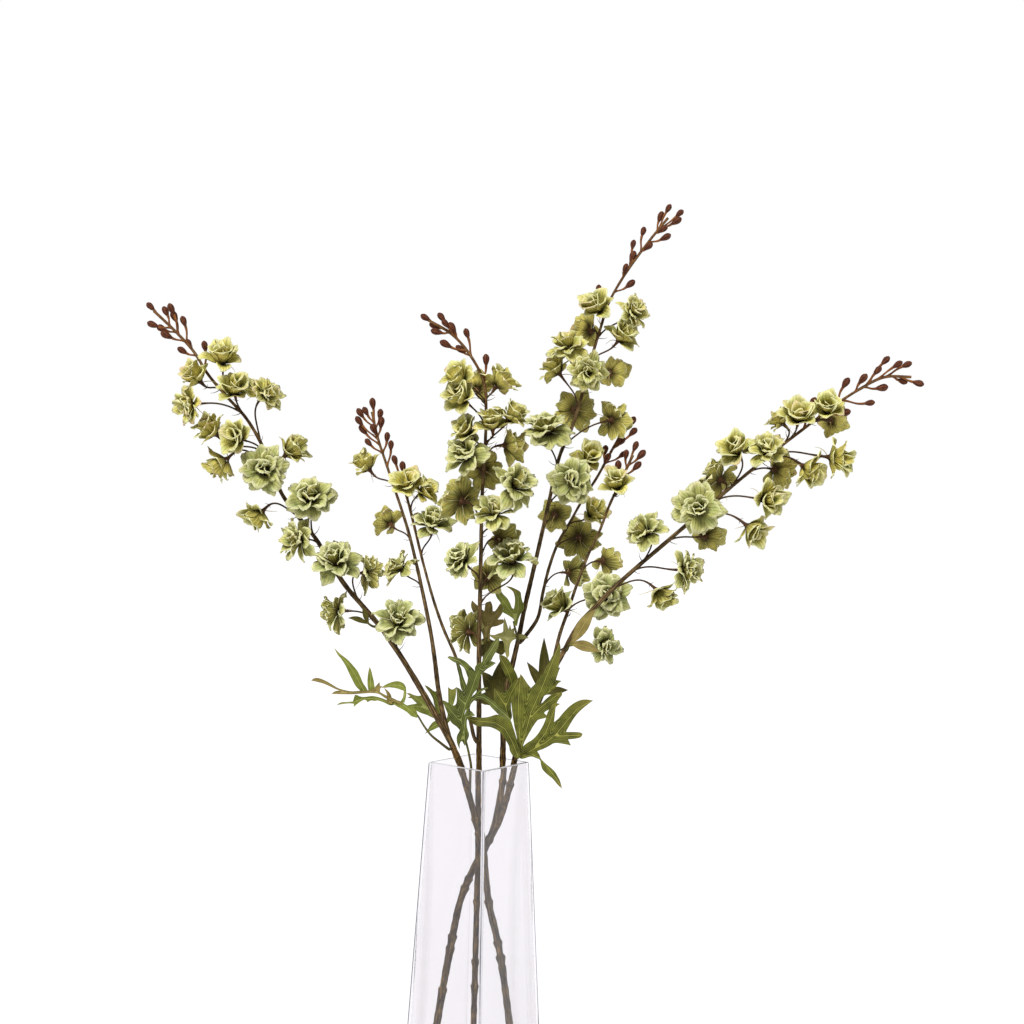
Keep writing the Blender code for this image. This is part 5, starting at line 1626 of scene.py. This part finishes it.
def rounded_outline(corners):
    """The corners of an outline joined by curves, except at its points and notches."""
    flat = [Vector(corner) for corner in corners]
    count = len(flat)
    ways = []
    for i in range(count):
        into = flat[i] - flat[i - 1]
        out = flat[(i + 1) % count] - flat[i]
        ways.append((into + out) / 2 if into.angle(out) < SMOOTH_TURN else None)
    points = []
    for i in range(count):
        a, b = flat[i], flat[(i + 1) % count]
        first = ways[i] or b - a
        second = ways[(i + 1) % count] or b - a
        cuts = max(1, round((b - a).length / CUT_STEP * 2))
        for k in range(cuts):
            t = k / cuts
            points.append(a * (2 * t**3 - 3 * t**2 + 1) + first * (t**3 - 2 * t**2 + t)
                          + b * (3 * t**2 - 2 * t**3) + second * (t**3 - t**2))
    return points


def fine_rib(corners):
    """Points every few mm along a rib."""
    points = []
    for a, b in zip(corners, corners[1:]):
        cuts = max(1, round(math.dist(a, b) / CUT_STEP))
        points += [Vector(a).lerp(Vector(b), k / cuts) for k in range(cuts)]
    return [*points, Vector(corners[-1])]


def cut_blade(name, spec, layer, draw):
    """One blade from its outline and ribs, filled with triangles and bent in depth."""
    points = rounded_outline(spec["outline"])
    around = list(range(len(points)))
    edges = []
    ribs = [fine_rib(rib) for rib in spec["ribs"]]
    for rib in ribs:
        edges += [(len(points) + k, len(points) + k + 1) for k in range(len(rib) - 1)]
        points += rib
    drawn = list(points)
    low = [min(p[k] for p in points) for k in (0, 1)]
    high = [max(p[k] for p in points) for k in (0, 1)]
    for row in range(int((high[1] - low[1]) / CUT_STEP) + 1):
        for column in range(int((high[0] - low[0]) / CUT_STEP) + 1):
            p = Vector((low[0] + (column + 0.5 * (row % 2)) * CUT_STEP, low[1] + row * CUT_STEP))
            if min((p - q).length for q in drawn) > CLEARANCE * CUT_STEP:
                points.append(p)
    flat, _, faces, *_ = delaunay_2d_cdt(points, edges, [around], 1, 0.01)
    start = ribs[0][0]
    far = max((p - start).length for p in flat)
    near, end = spec["depth"]
    phase = draw.uniform(0, math.tau)
    places = []
    marks = []
    for p in flat:
        away, part = min(((p - q).length, k / len(rib)) for rib in ribs for k, q in enumerate(rib))
        share = (p - start).length / far
        depth = near + (end - near) * share + spec["bow"] * math.sin(math.pi * share) - layer * LAYER
        waves = math.sin(0.35 * p.x + phase) * math.sin(0.3 * p.y)
        depth += -CUT_FOLD * away + BUCKLE * waves * min(1, away / 4)
        places.append(spot(p.x, p.y, depth))
        marks.append((0.5 + away / VEIN_AREA, part))
    mesh = bpy.data.meshes.new(name)
    mesh.from_pydata(places, [], faces)
    layer_uv = mesh.uv_layers.new(name="UVMap")
    for loop in mesh.loops:
        layer_uv.data[loop.index].uv = marks[loop.vertex_index]
    return put(name, mesh)


# %% [markdown]
# ### Leaves from lobes
#
# Each lobe is a copy of a form, laid along its own curved midrib, a little folded and twisted. The lobes
# lie over each other at the leaf's base, where the real blade is joined. A whole leaf, of either sort,
# gets its thickness at once.

# %% Leaf blades
LEAF_THICK = 0.5
PETIOLE_RADIUS = 1.2
PETIOLE_STEP = 14.0
# lobes wider than this have side lobes, and a lobe's body is a share of its written width
WIDE_LOBE = 17.0
BODY_SHARE = 0.66
# how far the lobes run together along the middle of the leaf before they part
GATHER = 0.5
SIDE_TURN = math.radians(34)
# place along the midrib, side, length and width of each side lobe, in shares of its lobe
SIDE_LOBES = ((0.50, 1, 0.27, 0.42), (0.62, -1, 0.24, 0.40))
# how wide a leaf's lobes are beside those of its solid
SLIM = {"leaf_back": 1.3, "leaf_sheath": 1.3}
LEAF_SMOOTH = math.radians(60)
# how lobes twist, fold, droop, ruffle and bend, and the least width a side lobe is taken from
TWIST_RANGE = (-0.5, 0.5)
FOLD_RANGE = (0.1, 0.4)
DROOP_RANGE = (0.1, 0.4)
RUFFLE = 0.12
MIDRIB_PULL = 0.38
SIDE_LEAST = 14


def lay_lobe(form, line, width, normal, layer, draw):
    """A copy of a lobe form laid along a midrib, folded along it, twisted and ruffled a little."""
    copy = copy_of(form)
    twist = draw.uniform(*TWIST_RANGE)
    fold = draw.uniform(*FOLD_RANGE)
    phase = draw.uniform(0, math.tau)
    last = len(line) - 1
    for corner in copy.data.vertices:
        along = corner.co.y * last
        i = min(int(along), last - 1)
        middle = line[i].lerp(line[i + 1], along - i)
        ahead = (line[i + 1] - line[i]).normalized()
        out = ahead.cross(normal).normalized()
        up = out.cross(ahead)
        turn = twist * corner.co.y
        across = out * math.cos(turn) + up * math.sin(turn)
        raised = up * math.cos(turn) - out * math.sin(turn)
        reach = corner.co.x * width
        lift = fold * abs(reach) + RUFFLE * abs(reach) * math.sin(9 * corner.co.y + phase)
        corner.co = middle + across * reach + raised * (lift + layer * LAYER * MM)
    return copy


def midrib(base, way, tip, droop):
    """A curved line from a base that leaves one way and comes down to the tip."""
    length = (tip - base).length
    end = ((tip - base).normalized() + Vector((0, 0, -droop))).normalized()
    return arc(base, way, tip, end, MIDRIB_PULL * length, LOBE_ALONG)


def blade(base, lobes, slim, draw):
    """All lobes of a leaf and their side lobes, with a thickness."""
    normal = Vector((0, 0, 0))
    main = Vector((0, 0, 0))
    for (a, _), (b, _) in zip(lobes, lobes[1:]):
        normal += (b - base).cross(a - base).normalized()
    for tip, _ in lobes:
        main += tip - base
    normal.normalize()
    main.normalize()
    pieces = []
    for k, (tip, width) in enumerate(lobes):
        way = (tip - base).normalized()
        pull = GATHER if way.dot(main) > 0.3 else 0
        line = midrib(base, (way + main * pull).normalized(), tip, draw.uniform(*DROOP_RANGE))
        wide = width > WIDE_LOBE
        form = lobe_forms["broad" if wide else "slender"]
        body = width * MM * BODY_SHARE * slim
        pieces.append(lay_lobe(form, line, body, normal, k % 3, draw))
        # the widest lobes have both side lobes, and the next in width one or none
        some = ()
        if width > WIDE_LOBE + 3:
            some = SIDE_LOBES
        elif wide:
            some = SIDE_LOBES[draw.randrange(4):][:1]
        for at, side, long, broad in some:
            i = round((at + draw.uniform(-0.04, 0.04)) * LOBE_ALONG)
            ahead = (line[i + 1] - line[i]).normalized()
            turned = Matrix.Rotation(side * SIDE_TURN * draw.uniform(0.8, 1.2), 3, normal) @ ahead
            reach = long * (tip - base).length * draw.uniform(0.85, 1.15)
            end = line[i] + turned * reach - normal * reach * draw.uniform(-0.1, 0.2)
            way = (turned + ahead * 0.5).normalized()
            side_line = midrib(line[i], way, end, 0.1)
            body = slim * broad * max(width, SIDE_LEAST) * MM
            layer = k % 3 - 0.5
            pieces.append(lay_lobe(lobe_forms["slender"], side_line, body, normal, layer, draw))
    return thicken(join("blade", pieces))


def thicken(piece):
    """A sheet given the thickness of a leaf on both sides."""
    thick = piece.modifiers.new("Thickness", "SOLIDIFY")
    thick.thickness = LEAF_THICK * MM
    thick.offset = 0
    bpy.ops.object.modifier_apply(modifier=thick.name)
    bpy.ops.object.shade_smooth_by_angle(angle=LEAF_SMOOTH)
    return piece


# %% [markdown]
# A leaf is dark to mid green with a lighter rib in each lobe and finer nerves beside it. The blade's UV
# map measures the way out from the rib and the way along it, so both are drawn from it. The tips are
# browner. Dry leaves shine little, so the finish is nearly matt.


# %% Leaf materials
def leaf_material(name, body, light, vein, tip, vein_share):
    """A veined, nearly matt leaf that is browner at its tips."""
    look, tree, shader = new_material(name, Roughness=0.6, Specular_IOR_Level=0.16)
    uv = add_node(tree, "UVMap", uv_map="UVMap")
    place = add_node(tree, "TexCoord")
    parts = add_node(tree, "SeparateXYZ", {0: uv})
    side = add_node(tree, "Math", {0: parts.outputs["X"], 1: 0.5}, operation="SUBTRACT")
    away = add_node(tree, "Math", {0: side}, operation="ABSOLUTE")
    patch = add_node(tree, "TexNoise", {"Vector": place.outputs["Object"], "Scale": 110, "Detail": 5})
    share = add_node(tree, "MapRange", {"Value": patch.outputs["Fac"], "From Min": 0.3,
                                        "From Max": 0.74})
    tissue = add_node(tree, "MixRGB", {"Fac": share, "Color1": linear(body), "Color2": linear(light)})
    midrib = add_node(tree, "MapRange", {"Value": away, "From Min": 0.0, "From Max": 0.04,
                                         "To Min": 0.7, "To Max": 0})
    # finer nerves run beside the midrib, about 1.5 mm apart
    turns = add_node(tree, "Math", {0: away, 1: 52.0}, operation="MULTIPLY")
    wave = add_node(tree, "Math", {0: turns}, operation="SINE")
    veins = add_node(tree, "MapRange", {"Value": wave, "From Min": 0.3, "From Max": 1.0,
                                        "To Max": vein_share})
    lines = add_node(tree, "Math", {0: midrib, 1: veins}, operation="MAXIMUM")
    dried = add_node(tree, "MapRange", {"Value": parts.outputs["Y"], "From Min": 0.7, "From Max": 1.05,
                                        "To Max": 0.6})
    tipped = add_node(tree, "MixRGB", {"Fac": dried, "Color1": tissue, "Color2": linear(tip)})
    veined = add_node(tree, "MixRGB", {"Fac": lines, "Color1": tipped, "Color2": linear(vein)})
    tree.links.new(veined.outputs[0], shader.inputs["Base Color"])
    bump = add_node(tree, "Bump", {"Height": lines, "Strength": 0.5, "Distance": 0.0005}, invert=True)
    tree.links.new(bump.outputs[0], shader.inputs["Normal"])
    return look


leaf_looks = {
    "mid": leaf_material("mid-green leaf", "#272C04", "#686C23", "#AEAC58", "#807838", 0.38),
    "blue": leaf_material("blue-green leaf", "#262C08", "#5E6828", "#A0A662", "#727440", 0.4),
    "fresh": leaf_material("fresh green leaf", "#566018", "#868E3C", "#B6BA70", "#94803C", 0.3),
    "olive": leaf_material("olive leaf", "#34340C", "#56521E", "#80763E", "#6A5E2A", 0.25),
    "pale": leaf_material("pale dried leaf", "#7C7C3C", "#A8A464", "#CCC690", "#94803C", 0.3),
    "brown": leaf_material("dried olive-brown leaf", "#665A2A", "#8C7E46", "#B0A068", "#84703C", 0.3),
}
petiole_skin = bark_material("olive-brown leaf stalk skin", "#40331C", "#585A24", "#6E6838")

# %% [markdown]
# ### Growing the leaves
#
# Each leaf's stalk starts inside the stem that carries it and ends inside the blade, so that no seam
# shows. The blade and its stalk are one piece.

# %% Leaves
BASE_SWELL = 1.25
END_TAPER = 0.5
LEAF_TONES = {
    "leaf_left": "fresh", "leaf_left_back": "fresh", "leaf_centre": "blue", "leaf_right": "mid",
    "leaf_back": "olive", "leaf_upper": "fresh", "leaf_centre_back": "brown", "leaf_right_back": "olive",
    "leaf_sheath": "brown", "leaf_slender": "olive",
}
for name, spec in LEAVES.items():
    draw = random.Random(name)
    points = [spot(*place) for place in spec["petiole"]]
    line = min(
        carriers[spec["on"]], key=lambda c: (c.path[c.nearest(points[0])] - points[0]).length
    )
    head, way = line.seat(points[0])
    inside = head - way * (line.radius(line.nearest(head)) + GAP) * MM
    route = [head, *smooth_path([head + way * SPUR_OUT * 0.6 * MM, *points[1:]], PETIOLE_STEP * MM)]
    base = route[-1]
    lobes = [(spot(a, d, y), width) for a, d, y, width in spec["lobes"]]
    inward = sum(((tip - base).normalized() for tip, _ in lobes), Vector()).normalized()
    fine = smooth_path([inside, *route, base + inward * 3 * MM], 2 * MM)
    radii = [PETIOLE_RADIUS * (BASE_SWELL - END_TAPER * i / len(fine)) for i in range(len(fine))]
    stalk = tubes("petiole", [(fine, radii)], 2)
    stalk.data.materials.append(petiole_skin)
    if name in CUT_LEAVES:
        cuts = []
        for i, cut in enumerate(CUT_LEAVES[name]):
            cuts.append(cut_blade(f"{name}_{i}", cut, i % 3, draw))
            cuts[-1].data.materials.append(leaf_looks[cut.get("tone", LEAF_TONES[name])])
        leaf = thicken(join("blade", cuts))
    else:
        leaf = blade(base, lobes, SLIM.get(name, 1.0), draw)
        leaf.data.materials.append(leaf_looks[LEAF_TONES[name]])
    hand_in(join(name + "_green", [leaf, stalk]), "leaf", name)

# %% [markdown]
# ## Finishing
#
# The forms that were copied are removed.

# %% Clearing up
for form in [bud_form, *lobe_forms.values(), *sum(petal_forms.values(), [])]:
    bpy.data.objects.remove(form)
